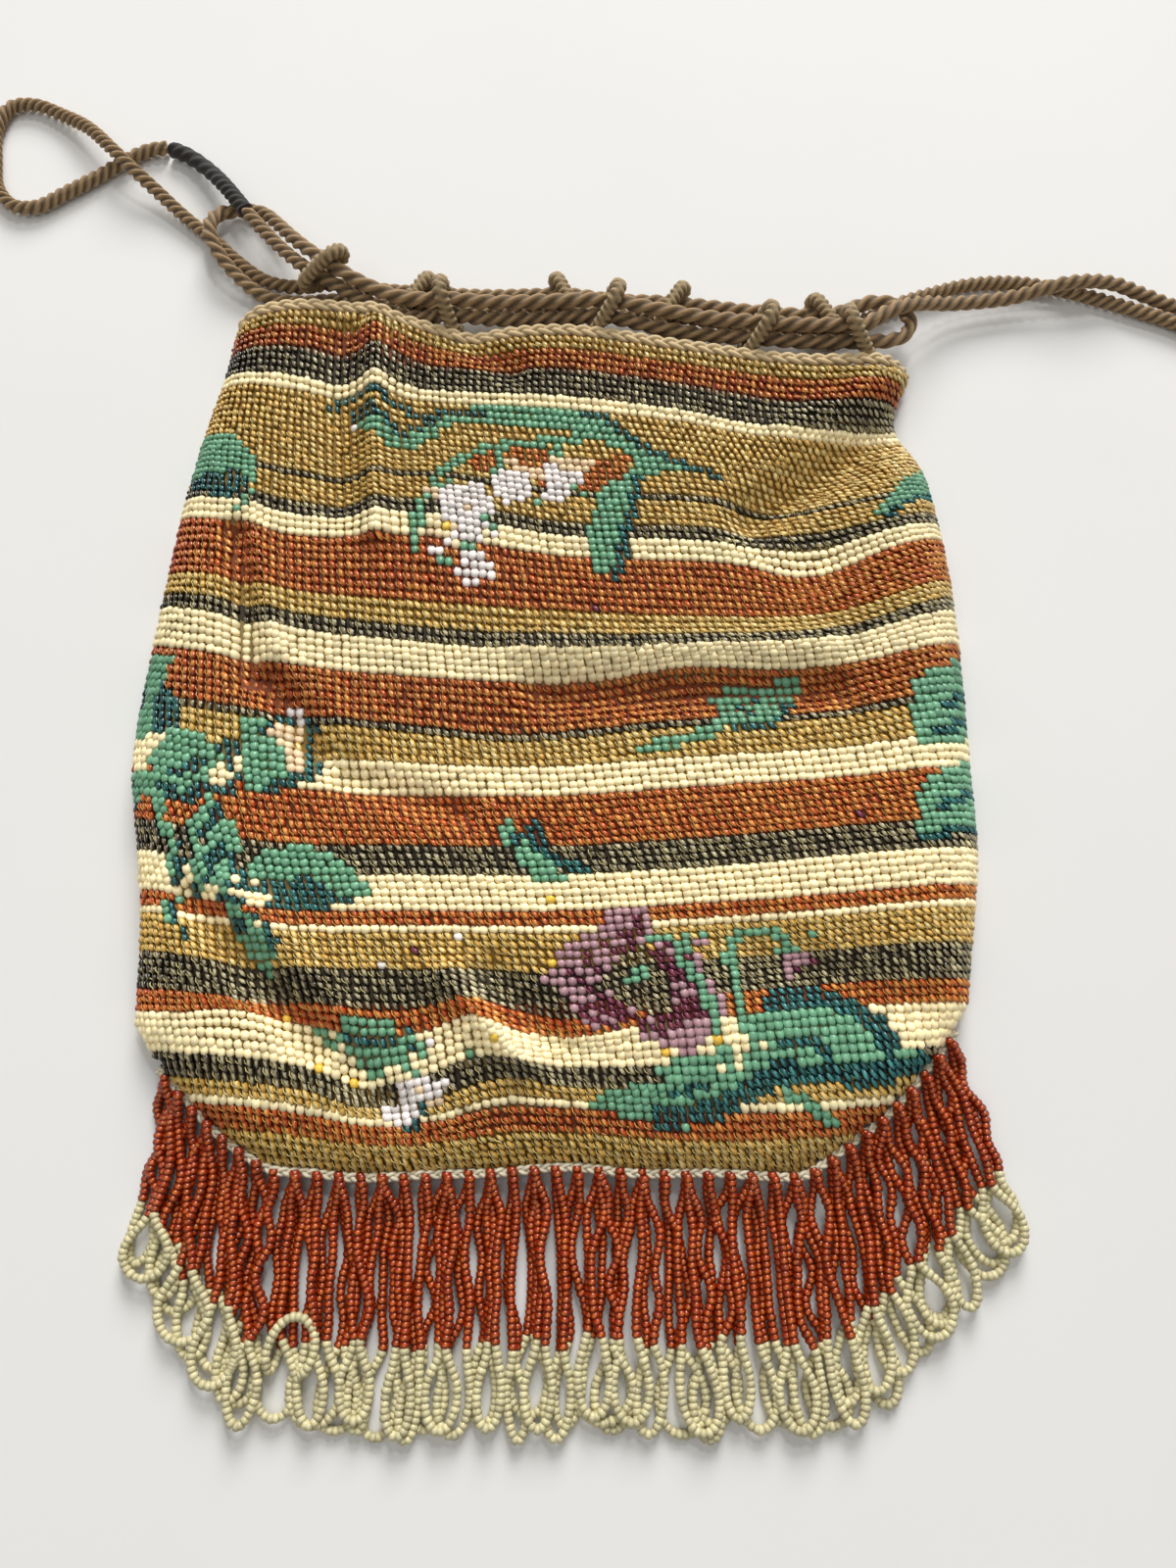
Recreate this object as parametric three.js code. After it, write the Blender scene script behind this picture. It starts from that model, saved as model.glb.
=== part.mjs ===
// Bead-knitted drawstring purse lying on its back, in millimetres, +Z up, mouth towards +Y.
// The origin is on the table, under the middle of the purse measured without its cords.
import * as THREE from "three";
import { ParametricGeometry } from "three/addons/geometries/ParametricGeometry.js";

// Driving sizes of the knitted pouch
const KNIT_ROWS = 116;
const WALL = 1.9; // thickness of the bead knit
const EDGE_Z = 2.6; // height of the fold line at the sides and of the seam at the bottom
const SIDE_ROUND = 15; // distance over which the front rises from a side fold
const BOTTOM_ROUND = 6; // distance over which the front rises from the bottom seam
const BOTTOM_BLEND = 45; // distance over which the wall turns to stand on the bottom seam
const BACK_ROUND = 4; // distance over which the back reaches the table from the fold line
const BACK_RISE = 6; // how far the back edge of the mouth stands beyond the front edge
const BACK_RISE_LEFT = 118; // run of that step from the left side fold
const BACK_RISE_RIGHT = 24; // run of that step from the right side fold
const BACK_RISE_ROWS = 30; // rows over which it fades down the back

// Rows of knitting from the mouth to the bottom: side folds, height of the front and the place of
// the row at seven even stations from the left fold to the right one.
const GUIDE_ROWS = [
  { row: 0, left: -77, right: 80.5, height: 11.4, y: [107.5, 108, 100.8, 101.5, 97.4, 93.8, 94.5] },
  { row: 9, left: -79, right: 76.5, height: 11.4, y: [94, 90, 87, 86, 82.5, 78, 82.5] },
  { row: 18, left: -82, right: 82, height: 11.6, y: [80, 74, 73, 70, 68, 65, 70] },
  { row: 30, left: -85, right: 84.5, height: 11.8, y: [63, 56, 56.5, 51, 50, 49, 56.5] },
  { row: 40, left: -87, right: 86, height: 11.8, y: [45, 38.5, 36, 34, 32.5, 33, 43] },
  { row: 50, left: -88.5, right: 86.5, height: 12, y: [30, 21.5, 18.5, 17, 18.5, 20.5, 28] },
  { row: 65, left: -90.3, right: 86.5, height: 12.2, y: [1.5, -5, -7, -7.5, -5.5, -3.5, 0] },
  { row: 76, left: -87.5, right: 86.5, height: 11.8, y: [-17, -23, -23.5, -23.5, -22, -19.5, -17] },
  { row: 84, left: -85.5, right: 85, height: 11.2, y: [-30, -34.5, -35, -35, -33.5, -31.5, -29] },
  { row: 97, left: -84.5, right: 82, height: 9.4, y: [-49.5, -52, -53.5, -53, -51.5, -49, -48] },
  { row: 108, left: -83.5, right: 80, height: 7.2, y: [-66, -68, -70.5, -69, -70.5, -69, -66] },
  { row: 116, left: -83, right: 79, height: 5.4, y: [-78.5, -80, -81, -79.5, -80.5, -80.5, -79] },
];

// Lower corners: where the cut starts on the side, and its run and rise as a rounded slope
const CORNERS = {
  left: { top: -52, run: 32, rise: 29.5, power: 1.3 },
  right: { top: -48, run: 34, rise: 33.5, power: 1.3 },
};

// Dents and ridges of the front: a line from one point to another, its rise and half width
const FOLDS = [
  { name: "ridge left of the middle", from: [-43, 104], to: [-40, 52], rise: 2.6, width: 3.4 },
  { name: "hollow beside that ridge", from: [-51, 102], to: [-49, 60], rise: -2.2, width: 4.8 },
  { name: "hollow under the mouth's dip", from: [-22, 101], to: [-12, 93], rise: -2, width: 4 },
  { name: "upper left crease", from: [-71, 52], to: [-65, 18], rise: -2.8, width: 2.8 },
  { name: "ridge right of that crease", from: [-65, 50], to: [-59, 24], rise: 1.4, width: 3.2 },
  { name: "middle left crease", from: [-61, 17], to: [-50, 1], rise: -2.6, width: 3 },
  { name: "ridge over the middle left crease", from: [-54, 21], to: [-43, 6], rise: 1.2, width: 3.6 },
  { name: "valley from the right notch", from: [84, 84], to: [42, 56], rise: -5, width: 5.5 },
  { name: "band over that valley", from: [82, 94], to: [50, 78], rise: 1.4, width: 4.5 },
  { name: "roll across the middle", from: [-8, 25], to: [55, 25], rise: 2.2, width: 4.6 },
  { name: "hollow under the roll", from: [-4, 14], to: [58, 15], rise: -2.8, width: 3.8 },
  { name: "slanting crease", from: [-43, -4], to: [-20, -11], rise: -2.2, width: 3.4 },
  { name: "lower left valley", from: [-74, -28], to: [-47, -57], rise: -3, width: 3.4 },
  { name: "ridge right of that valley", from: [-66, -25], to: [-42, -50], rise: 1.6, width: 3.6 },
  { name: "lower ridge", from: [-22, -44], to: [-7, -60], rise: 2.8, width: 3.6 },
  { name: "hollow right of the lower ridge", from: [-13, -43], to: [1, -58], rise: -1.8, width: 4 },
  { name: "dip over the lower edge", from: [-40, -62], to: [-31, -68], rise: -1.8, width: 4 },
  { name: "hollow above the right corner", from: [40, -40], to: [70, -50], rise: -2, width: 7 },
];

// Trim on the mouth and along the bottom
const GAP = 0.45; // clearance between neighbouring pieces
const BRAID_RADIUS = 1.2;
const BRAID_LIFT = 0.15; // clearance of the back braid over the table
const EDGING_RADIUS = 0.8;

// Cord loops: flattened rings of tube, each round two cords. The long side of a loop tilts up away
// from the purse and leans to the right, and the whole is turned in plan to the cords' way; degrees.
const LOOP_TUBE = 1.3;
const LOOP_BEND = 3.35; // radius of the round ends, at the middle of the tube
const LOOP_HALF_STRAIGHT = 2.5;
const LOOPS = [
  { name: "ring_front_1", at: [-55.8, 119.8, 10.6], tilt: 36, lean: 26, turn: 31 },
  { name: "ring_front_2", at: [-26.5, 109.7, 10.1], tilt: 54, lean: -16, turn: 0 },
  { name: "ring_front_3", at: [9.9, 109.2, 10.2], tilt: 54, lean: 31, turn: 0 },
  { name: "ring_front_4", at: [44.8, 103.5, 10.1], tilt: 54, lean: 30, turn: 0 },
  { name: "ring_front_5", at: [68, 102.6, 10.1], tilt: 54, lean: -30, turn: 0 },
  { name: "ring_back_1", at: [-34.5, 115.8, 4.9], tilt: 4, lean: 32, turn: 0 },
  { name: "ring_back_2", at: [0.6, 115.3, 4.9], tilt: 4, lean: -26, turn: 0 },
  { name: "ring_back_3", at: [25.4, 113.1, 4.9], tilt: 4, lean: 32, turn: 0 },
  { name: "ring_back_4", at: [61.5, 109.6, 4.9], tilt: 4, lean: -30, turn: 0 },
];

// Drawstrings: routes of the two twisted cords, and the thread binding over the left one's join
const CORD_RADIUS = 1.7;
const CORD_SIDES = 8;
const CORD_STEPS = 84;
const WHIPPING_RADIUS = 1.95;
const WHIPPING_STEPS = 8;
const LEFT_CORD = [
  [-76.2, 139.1, 6.7], [-71.5, 133, 7.6], [-66.2, 126.8, 8.4], [-61.2, 121.9, 9], [-56.5, 118.6, 9.5],
  [-48, 113.4, 8.8], [-37.5, 108.7, 8.4], [-32, 107.9, 8.4], [-26.8, 108.6, 8.7], [-16, 107.4, 8.8],
  [-4, 107.6, 8.8], [9.6, 108.1, 8.8], [20, 105.6, 8.8], [32, 103.2, 8.8], [44.6, 102.4, 8.7],
  [56, 101.4, 8.7], [68, 101.5, 8.7], [75, 102.2, 8], [79.8, 105, 6.8], [81, 109.3, 6],
  [78.4, 113.6, 5.6], [72.5, 114.4, 5.7], [66.5, 112.4, 5.3], [61.5, 111.3, 5], [43, 113.2, 4.2],
  [25.4, 114.8, 5], [13, 116, 4.2], [0.6, 117, 5], [-17, 117.2, 4.2], [-34.5, 117.6, 5],
  [-46, 119.4, 4], [-56, 121.6, 3], [-65, 121.3, 2.4], [-72, 123.4, 2], [-79, 128.8, 1.9],
  [-85.2, 135, 1.9], [-92.2, 141.2, 1.9], [-100.2, 148.6, 3.2], [-106, 153.6, 5.1],
  [-111.2, 158.8, 5.7], [-118.6, 166.8, 4.2], [-126.2, 172.4, 2.3], [-134.2, 176.2, 1.9],
  [-140, 175.4, 1.9], [-142.8, 169, 1.9], [-142, 159.5, 1.9], [-140.2, 151, 1.9],
  [-135.6, 145.4, 1.9], [-129.8, 145, 1.9], [-123, 149.2, 1.9], [-115, 154.6, 1.9],
  [-109.6, 158.8, 1.9], [-104, 162, 1.9], [-99.3, 162.7, 2.1],
];
const WHIPPING = [
  [-98, 162.2, 2.2], [-93.5, 159.8, 2.4], [-88, 154.8, 3.4], [-82.8, 148.4, 5.2], [-76.6, 139.7, 6.6],
];
const RIGHT_CORD = [
  [163.6, 111.8, 1.9], [162.4, 116.2, 1.9], [158, 118.6, 1.9], [152, 118, 1.9], [146.2, 116.4, 1.9],
  [139, 118.6, 2.8], [130, 120.6, 4.8], [120, 120, 5.7], [106.1, 117.2, 3.8], [92, 114.8, 4.8],
  [85, 112.6, 7.8], [80, 110.4, 10], [75, 107.8, 11.2], [68.2, 103.7, 11.5], [62, 103.7, 11.7],
  [56, 103.7, 11.7], [45, 104.6, 11.5], [33, 105.6, 11.7], [22, 107.8, 11.7], [10.2, 110.3, 11.6],
  [-3, 110, 11.7], [-16, 109.7, 11.7], [-26.2, 110.8, 11.5], [-37, 111.2, 11.4], [-47.5, 115.8, 11.6],
  [-55.1, 121, 11.7], [-59.6, 125, 10.6], [-64.8, 131, 8.2], [-69.4, 137.4, 5.2],
  [-73.6, 142.4, 2.6], [-79, 144, 1.9], [-84, 141.6, 3.4], [-85.4, 136.4, 5.5],
  [-83.6, 130.4, 5.3], [-78.6, 123.8, 3.8], [-71, 118.4, 2.2], [-63, 117.2, 2],
  [-55, 117.4, 2.4], [-46, 115.8, 3.2], [-34.5, 114.1, 4.8], [-26, 113.6, 3.4], [-17, 113.4, 3.4],
  [0.6, 113.5, 4.8], [9, 112.8, 3.4], [13, 112.4, 3.4], [25.4, 111.3, 4.8], [43, 109.6, 3.6],
  [61.5, 107.8, 4.8], [67, 109.4, 3.4], [72.5, 113, 2], [79, 116.6, 1.9], [88, 119.8, 1.9],
  [97.8, 122.4, 1.9], [109.2, 122.8, 1.9], [120.4, 120.6, 1.9], [132, 116.8, 1.9], [146, 111.4, 1.9],
  [152, 107.4, 1.9], [157.6, 105.8, 1.9], [162, 107.6, 1.9], [163.6, 111.4, 1.9],
];

// Fringed edge: its upper ends on the two sides
const EDGE_TOP_LEFT = -60;
const EDGE_TOP_RIGHT = -53;

// Fringe: length of the strands and loops, and which way they lie, at even stations along the edge
const FRINGE_GAP = 2.8; // from the knitted edge to the tops of the strands, past the edging
const STRAND_THICK = 3.6;
const LOOP_THICK = 3.4;
const STRAND_SHARE = 0.68; // rust part of the whole length
const FRINGE_LENGTH = [36.5, 44, 45.5, 45.5, 45.5, 44, 38.5];
const FRINGE_LEAN = [-3, -2, -1, 0, 2, 6, 15]; // degrees from straight down, to the right positive
const FRINGE_STATIONS = 28;

// Resolution of the curved surfaces, and how far their points are drawn to the ends
const SLICES = 64;
const OUTER_ROWS = 32;
const INNER_ROWS = 20;
const EASE_ACROSS = 0.09;
const EASE_ALONG = 0.07;
const CORNER_PASSES = 6; // repeats that settle a row's ends on the cut corners
const BRAID_POINTS = 56;
const BRAID_STEPS = 66;
const LOOP_ARC_POINTS = 6;
const LOOP_STEPS = 18;
const THREAD_SIDES = 6;
const EDGE_SIDE_POINTS = 12;
const EDGE_BOTTOM_POINTS = 14;
const EDGE_SEARCH = 120; // places tried for the row at an upper end of the edge
const EDGING_POINTS = 40;
const EDGING_STEPS = 52;

const KNIT = new THREE.MeshStandardMaterial({ color: 0xa8793a, roughness: 0.45 });
const CROCHET = new THREE.MeshStandardMaterial({ color: 0x8a7549, roughness: 0.9 });
const CORD = new THREE.MeshStandardMaterial({ color: 0x80613f, roughness: 0.9 });
const BINDING = new THREE.MeshStandardMaterial({ color: 0x2c2725, roughness: 0.85 });
const EDGING = new THREE.MeshStandardMaterial({ color: 0xd6cdb0, roughness: 0.9 });
const RUST_BEADS = new THREE.MeshStandardMaterial({ color: 0x7a2a12, roughness: 0.25 });
const PALE_BEADS = new THREE.MeshStandardMaterial({ color: 0xd2cc94, roughness: 0.35 });

const group = new THREE.Group();

function add(name, geometry, material) {
  const mesh = new THREE.Mesh(geometry, material);
  mesh.name = name;
  group.add(mesh);
}

// Smooth curve through values at rising stations: a cubic whose slopes come from the neighbours
function through(stations, values, at) {
  const last = stations.length - 1;
  let i = 0;
  while (i < last - 1 && at > stations[i + 1]) i += 1;
  const slope = (k) => {
    const before = Math.max(k - 1, 0);
    const after = Math.min(k + 1, last);
    return (values[after] - values[before]) / (stations[after] - stations[before]);
  };
  const span = stations[i + 1] - stations[i];
  const t = (at - stations[i]) / span;
  const start = values[i] * (1 + 2 * t) * (1 - t) ** 2 + slope(i) * span * t * (1 - t) ** 2;
  const end = values[i + 1] * t * t * (3 - 2 * t) - slope(i + 1) * span * t * t * (1 - t);
  return start + end;
}

const evenly = (count) => Array.from({ length: count }, (_, k) => k / (count - 1));
const quarterRound = (t) => Math.sqrt(1 - (1 - THREE.MathUtils.clamp(t, 0, 1)) ** 2);
const ease = (t, amount) => t - amount * Math.sin(2 * Math.PI * t);

const GUIDES = GUIDE_ROWS.map((guide) => guide.row);
const STATIONS = evenly(GUIDE_ROWS[0].y.length);
const guideValue = (column, row) => through(GUIDES, GUIDE_ROWS.map((guide) => guide[column]), row);

function rowY(row, across) {
  const values = STATIONS.map((_, k) => through(GUIDES, GUIDE_ROWS.map((guide) => guide.y[k]), row));
  return through(STATIONS, values, across);
}

// How far a cut corner stands in from the straight side at a given height
function cornerInset(corner, y) {
  const t = THREE.MathUtils.clamp((corner.top - y) / corner.rise, 0, 1);
  return corner.run * (1 - (1 - t ** corner.power) ** (1 / corner.power));
}

// Left and right ends of a row after the corner cuts, as shares of its straight width
function rowEnds(row) {
  const width = guideValue("right", row) - guideValue("left", row);
  let start = 0;
  let end = 1;
  for (let pass = 0; pass < CORNER_PASSES; pass += 1) {
    start = cornerInset(CORNERS.left, rowY(row, start)) / width;
    end = 1 - cornerInset(CORNERS.right, rowY(row, end)) / width;
  }
  return { start, end, width };
}

function foldRise(x, y) {
  const point = new THREE.Vector2(x, y);
  return FOLDS.reduce((sum, fold) => {
    const from = new THREE.Vector2(...fold.from);
    const along = new THREE.Vector2(...fold.to).sub(from);
    const share = THREE.MathUtils.clamp(point.clone().sub(from).dot(along) / along.lengthSq(), 0, 1);
    const away = point.distanceTo(from.addScaledVector(along, share));
    return sum + fold.rise * Math.exp(-((away / fold.width) ** 2));
  }, 0);
}

// Point of the pouch: share of the row from left to right, row, front or back sheet, and the depth
// below the outer surface
function pouchPoint(share, row, isFront, depth) {
  const { start, end, width } = rowEnds(row);
  const across = start + share * (end - start);
  const half = ((end - start) * width) / 2;
  const middle = guideValue("left", row) + (start + end) * 0.5 * width;
  const x = middle + (share - 0.5) * 2 * (half - depth);
  const fromSide = Math.min(share, 1 - share) * 2 * half;
  const outerY = rowY(row, across);
  const fromBottom = outerY - rowY(KNIT_ROWS, across);
  const nearBottom = 1 - THREE.MathUtils.smoothstep(fromBottom, 0, BOTTOM_BLEND);
  const y = outerY + depth * nearBottom;
  if (isFront) {
    const lift = quarterRound(fromSide / SIDE_ROUND) * quarterRound(fromBottom / BOTTOM_ROUND);
    const top = guideValue("height", row) + foldRise(x, y);
    return new THREE.Vector3(x, y, EDGE_Z + (top - depth - EDGE_Z) * lift);
  }
  const lift = quarterRound(fromSide / BACK_ROUND) * quarterRound(fromBottom / BACK_ROUND);
  const left = THREE.MathUtils.smoothstep(share * 2 * half, 0, BACK_RISE_LEFT);
  const right = THREE.MathUtils.smoothstep((1 - share) * 2 * half, 0, BACK_RISE_RIGHT);
  const fade = 1 - THREE.MathUtils.smoothstep(row, 0, BACK_RISE_ROWS);
  return new THREE.Vector3(x, y + BACK_RISE * left * right * fade, EDGE_Z - (EDGE_Z - depth) * lift);
}

// Goes round the pouch once: the front from left to right, then the back from right to left
function pouchRing(turn, row, depth) {
  const isFront = turn <= 0.5;
  const share = isFront ? 2 * turn : 2 - 2 * turn;
  return pouchPoint(ease(share, EASE_ACROSS), row, isFront, depth);
}

function makePouch() {
  const stacks = OUTER_ROWS + 1 + INNER_ROWS;
  const surface = (u, v, target) => {
    const step = Math.round(v * stacks);
    const isOuter = step <= OUTER_ROWS;
    const up = isOuter ? step / OUTER_ROWS : (stacks - step) / INNER_ROWS;
    const row = KNIT_ROWS * (1 - ease(up, EASE_ALONG));
    target.copy(pouchRing(u % 1, row, isOuter ? 0 : WALL));
  };
  return new ParametricGeometry(surface, SLICES, stacks);
}

// Round section with flat facets, for the pieces swept along a route
function roundSection(radius, sides) {
  const corner = (k) => {
    const angle = (2 * Math.PI * (k + 0.5)) / sides;
    return new THREE.Vector2(radius * Math.cos(angle), radius * Math.sin(angle));
  };
  return new THREE.Shape(Array.from({ length: sides }, (_, k) => corner(k)));
}

function sweep(points, radius, sides, steps) {
  const route = new THREE.CatmullRomCurve3(points.map((p) => new THREE.Vector3(...p)), false, "centripetal");
  const options = { steps, bevelEnabled: false, extrudePath: route };
  return new THREE.ExtrudeGeometry(roundSection(radius, sides), options);
}

// Middle line of the chain braid, one radius and a gap beyond the edge of the mouth
function braidPoint(share, isFront) {
  const edge = pouchPoint(share, 0, isFront, WALL / 2);
  edge.y += BRAID_RADIUS + GAP;
  edge.z = Math.max(edge.z, BRAID_RADIUS + BRAID_LIFT);
  return edge;
}

function makeBraid() {
  const steps = Array.from({ length: BRAID_POINTS }, (_, k) => k / BRAID_POINTS);
  const points = steps.map((turn) => {
    const isFront = turn <= 0.5;
    return braidPoint(isFront ? 2 * turn : 2 - 2 * turn, isFront);
  });
  const route = new THREE.CatmullRomCurve3(points, true, "centripetal");
  return new THREE.TubeGeometry(route, BRAID_STEPS, BRAID_RADIUS, THREAD_SIDES, true);
}

// Flattened ring in the XY plane, long along Y, as a tube that closes on itself
function makeLoop() {
  const arc = (side) =>
    evenly(LOOP_ARC_POINTS).map((t) => {
      const angle = Math.PI * (t - 0.5) * side + (side > 0 ? Math.PI / 2 : -Math.PI / 2);
      const middle = side * LOOP_HALF_STRAIGHT;
      return new THREE.Vector3(LOOP_BEND * Math.cos(angle), middle + LOOP_BEND * Math.sin(angle), 0);
    });
  const points = [...arc(1), ...arc(-1).reverse()];
  const route = new THREE.CatmullRomCurve3(points, true, "centripetal");
  return new THREE.TubeGeometry(route, LOOP_STEPS, LOOP_TUBE, THREAD_SIDES, true);
}

// Sets a loop round its two cords: its long side tilts up and leans to one side, and the whole is
// turned in plan
function placeLoop(loop) {
  const lean = THREE.MathUtils.degToRad(loop.lean);
  const tilt = THREE.MathUtils.degToRad(loop.tilt);
  const level = Math.cos(lean);
  const long = new THREE.Vector3(Math.sin(lean), level * Math.cos(tilt), level * Math.sin(tilt));
  const short = new THREE.Vector3(0, -Math.sin(tilt), Math.cos(tilt));
  const normal = short.clone().cross(long);
  const geometry = makeLoop();
  geometry.applyMatrix4(new THREE.Matrix4().makeBasis(short, long, normal));
  geometry.rotateZ(-THREE.MathUtils.degToRad(loop.turn));
  geometry.translate(...loop.at);
  add(loop.name, geometry, CROCHET);
}

// Edge of the pouch from the left side round the bottom to the right side, seen from above
const EDGE = new THREE.CatmullRomCurve3(makeEdge(), false, "centripetal");

function makeEdge() {
  const rowAt = (y, across) => {
    const rows = evenly(EDGE_SEARCH + 1).map((t) => KNIT_ROWS * t);
    return rows.find((row) => rowY(row, across) <= y);
  };
  const side = (first, share) =>
    evenly(EDGE_SIDE_POINTS).map((t) => pouchPoint(share, first + (KNIT_ROWS - first) * t, true, 0));
  const left = side(rowAt(EDGE_TOP_LEFT, 0), 0);
  const right = side(rowAt(EDGE_TOP_RIGHT, 1), 1);
  const across = evenly(EDGE_BOTTOM_POINTS).slice(1, -1);
  const bottom = across.map((t) => pouchPoint(t, KNIT_ROWS, true, 0));
  return [...left, ...bottom, ...right.reverse()];
}

// Point beyond the pouch's edge: share of the edge from left to right, and the distance outwards
function besideEdge(share, outwards) {
  const point = EDGE.getPointAt(share);
  const along = EDGE.getTangentAt(share);
  return new THREE.Vector3(point.x + along.y * outwards, point.y - along.x * outwards, EDGE_Z);
}

function makeEdging() {
  const outwards = GAP + EDGING_RADIUS;
  const points = evenly(EDGING_POINTS).map((t) => besideEdge(t, outwards).toArray());
  return sweep(points, EDGING_RADIUS, THREAD_SIDES, EDGING_STEPS);
}

// Point of the fringe: share of the edge, and share of the whole length from top to tip
function fringePoint(share, down) {
  const stations = evenly(FRINGE_LENGTH.length);
  const length = through(stations, FRINGE_LENGTH, share) - FRINGE_GAP;
  const lean = THREE.MathUtils.degToRad(through(stations, FRINGE_LEAN, share));
  const top = besideEdge(share, FRINGE_GAP);
  return new THREE.Vector2(
    top.x + length * down * Math.sin(lean),
    top.y - length * down * Math.cos(lean),
  );
}

// Flat form of a band of the fringe, from one share of its length to another
function makeFringe(from, to, thick) {
  const shares = evenly(FRINGE_STATIONS);
  const upper = shares.map((share) => fringePoint(share, from));
  const lower = shares.map((share) => fringePoint(share, to)).reverse();
  const shape = new THREE.Shape([...upper, ...lower]);
  return new THREE.ExtrudeGeometry(shape, { depth: thick, bevelEnabled: false });
}

const bandGap = GAP / Math.max(...FRINGE_LENGTH);

add("purse_body", makePouch(), KNIT);
add("mouth_braid", makeBraid(), CROCHET);
LOOPS.forEach(placeLoop);
add("drawstring_left", sweep(LEFT_CORD, CORD_RADIUS, CORD_SIDES, CORD_STEPS), CORD);
add("cord_whipping", sweep(WHIPPING, WHIPPING_RADIUS, CORD_SIDES, WHIPPING_STEPS), BINDING);
add("drawstring_right", sweep(RIGHT_CORD, CORD_RADIUS, CORD_SIDES, CORD_STEPS), CORD);
add("bottom_edging", makeEdging(), EDGING);
add("fringe_strands", makeFringe(0, STRAND_SHARE - bandGap, STRAND_THICK), RUST_BEADS);
add("fringe_loops", makeFringe(STRAND_SHARE, 1, LOOP_THICK), PALE_BEADS);

export default group;
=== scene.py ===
"""Bead-knitted drawstring purse: pouch of single beads, crocheted mouth, twisted cords and bead fringe."""

import math

import bmesh
import bpy
import numpy as np
from bpy.props import FloatProperty, FloatVectorProperty, IntProperty, PointerProperty
from mathutils import Matrix, Vector


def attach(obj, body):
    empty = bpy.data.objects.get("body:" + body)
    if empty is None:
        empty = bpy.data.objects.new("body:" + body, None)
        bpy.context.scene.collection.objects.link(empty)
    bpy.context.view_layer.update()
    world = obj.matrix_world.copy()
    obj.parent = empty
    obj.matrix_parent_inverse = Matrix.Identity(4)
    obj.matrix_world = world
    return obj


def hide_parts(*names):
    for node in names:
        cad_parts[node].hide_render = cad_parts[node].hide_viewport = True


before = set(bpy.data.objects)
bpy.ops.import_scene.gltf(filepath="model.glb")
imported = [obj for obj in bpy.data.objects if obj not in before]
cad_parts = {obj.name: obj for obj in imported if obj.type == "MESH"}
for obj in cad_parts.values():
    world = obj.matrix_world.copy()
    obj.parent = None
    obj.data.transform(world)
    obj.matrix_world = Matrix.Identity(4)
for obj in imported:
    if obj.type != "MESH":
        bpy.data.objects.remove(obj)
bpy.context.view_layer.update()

bl_info = {
    "name": "Beaded drawstring purse",
    "version": (1, 0, 0),
    "blender": (4, 5, 0),
    "location": "View3D > Sidebar > Purse",
    "description": "Dresses the purse's plain solids with beads, crochet, cord and fringe",
    "category": "Object",
}

MM = 0.001  # all shapes below are worked out in millimetres
BODY = "root"
BAKE_MAP = "OFBake"
MAP_MARGIN = 0.04  # bare part at both sides of a band of a map
WELD = 1e-7  # points of a mesh closer than this are joined, in metres
TINY = 1e-9  # keeps a line of no length from dividing by zero
UP = (0, 0, 1)
SPAN_POINTS = 24  # points worked out between two points of a route

# View and light, in metres; a lamp has a name, a place, a size and a power in watts
EYE = (0.0058, -0.0712, 0.2413)
VIEW_TILT = 16  # degrees from straight down
VIEW_LENS = 27.05
VIEW_SENSOR = 36
TABLE_REACH = 3.0
ROOM_LIGHT = {"Color": (1.0, 0.985, 0.96, 1), "Strength": 0.27}
LAMPS = (
    ("window", (0.53, 4.5, 2.4), 2.25, 268.0),
    ("ceiling", (-0.25, -0.3, 1.4), 1.2, 4.0),
    ("spark", (0.15, 0.9, 1.2), 0.2, 4.0),
)

# Knitted pouch: rows from the mouth down, side folds, height of the front and each row's place at seven
# even stations from the left fold to the right one
KNIT_ROWS = 116
WALL = 1.9
EDGE_Z = 2.6
SIDE_ROUND = 15.0
BOTTOM_ROUND = 6.0
BOTTOM_BLEND = 45.0
BACK_ROUND = 4.0
BACK_RISE = 6.0
BACK_RISE_LEFT = 118.0
BACK_RISE_RIGHT = 24.0
BACK_RISE_ROWS = 30.0
GUIDE_ROWS = (0, 9, 18, 30, 40, 50, 65, 76, 84, 97, 108, 116)
LEFT_FOLD = (-77, -79, -82, -85, -87, -88.5, -90.3, -87.5, -85.5, -84.5, -83.5, -83)
RIGHT_FOLD = (80.5, 76.5, 82, 84.5, 86, 86.5, 86.5, 86.5, 85, 82, 80, 79)
FRONT_HEIGHT = (11.4, 11.4, 11.6, 11.8, 11.8, 12, 12.2, 11.8, 11.2, 9.4, 7.2, 5.4)
ROW_PLACES = (
    (107.5, 108, 100.8, 101.5, 97.4, 93.8, 94.5),
    (94, 90, 87, 86, 82.5, 78, 82.5),
    (80, 74, 73, 70, 68, 65, 70),
    (63, 56, 56.5, 51, 50, 49, 56.5),
    (45, 38.5, 36, 34, 32.5, 33, 43),
    (30, 21.5, 18.5, 17, 18.5, 20.5, 28),
    (1.5, -5, -7, -7.5, -5.5, -3.5, 0),
    (-17, -23, -23.5, -23.5, -22, -19.5, -17),
    (-30, -34.5, -35, -35, -33.5, -31.5, -29),
    (-49.5, -52, -53.5, -53, -51.5, -49, -48),
    (-66, -68, -70.5, -69, -70.5, -69, -66),
    (-78.5, -80, -81, -79.5, -80.5, -80.5, -79),
)
CORNER_POWER = 1.3
CORNER_PASSES = 6
LEFT_CORNER = {"top": -52, "run": 32, "rise": 29.5}
RIGHT_CORNER = {"top": -48, "run": 34, "rise": 33.5}
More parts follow.
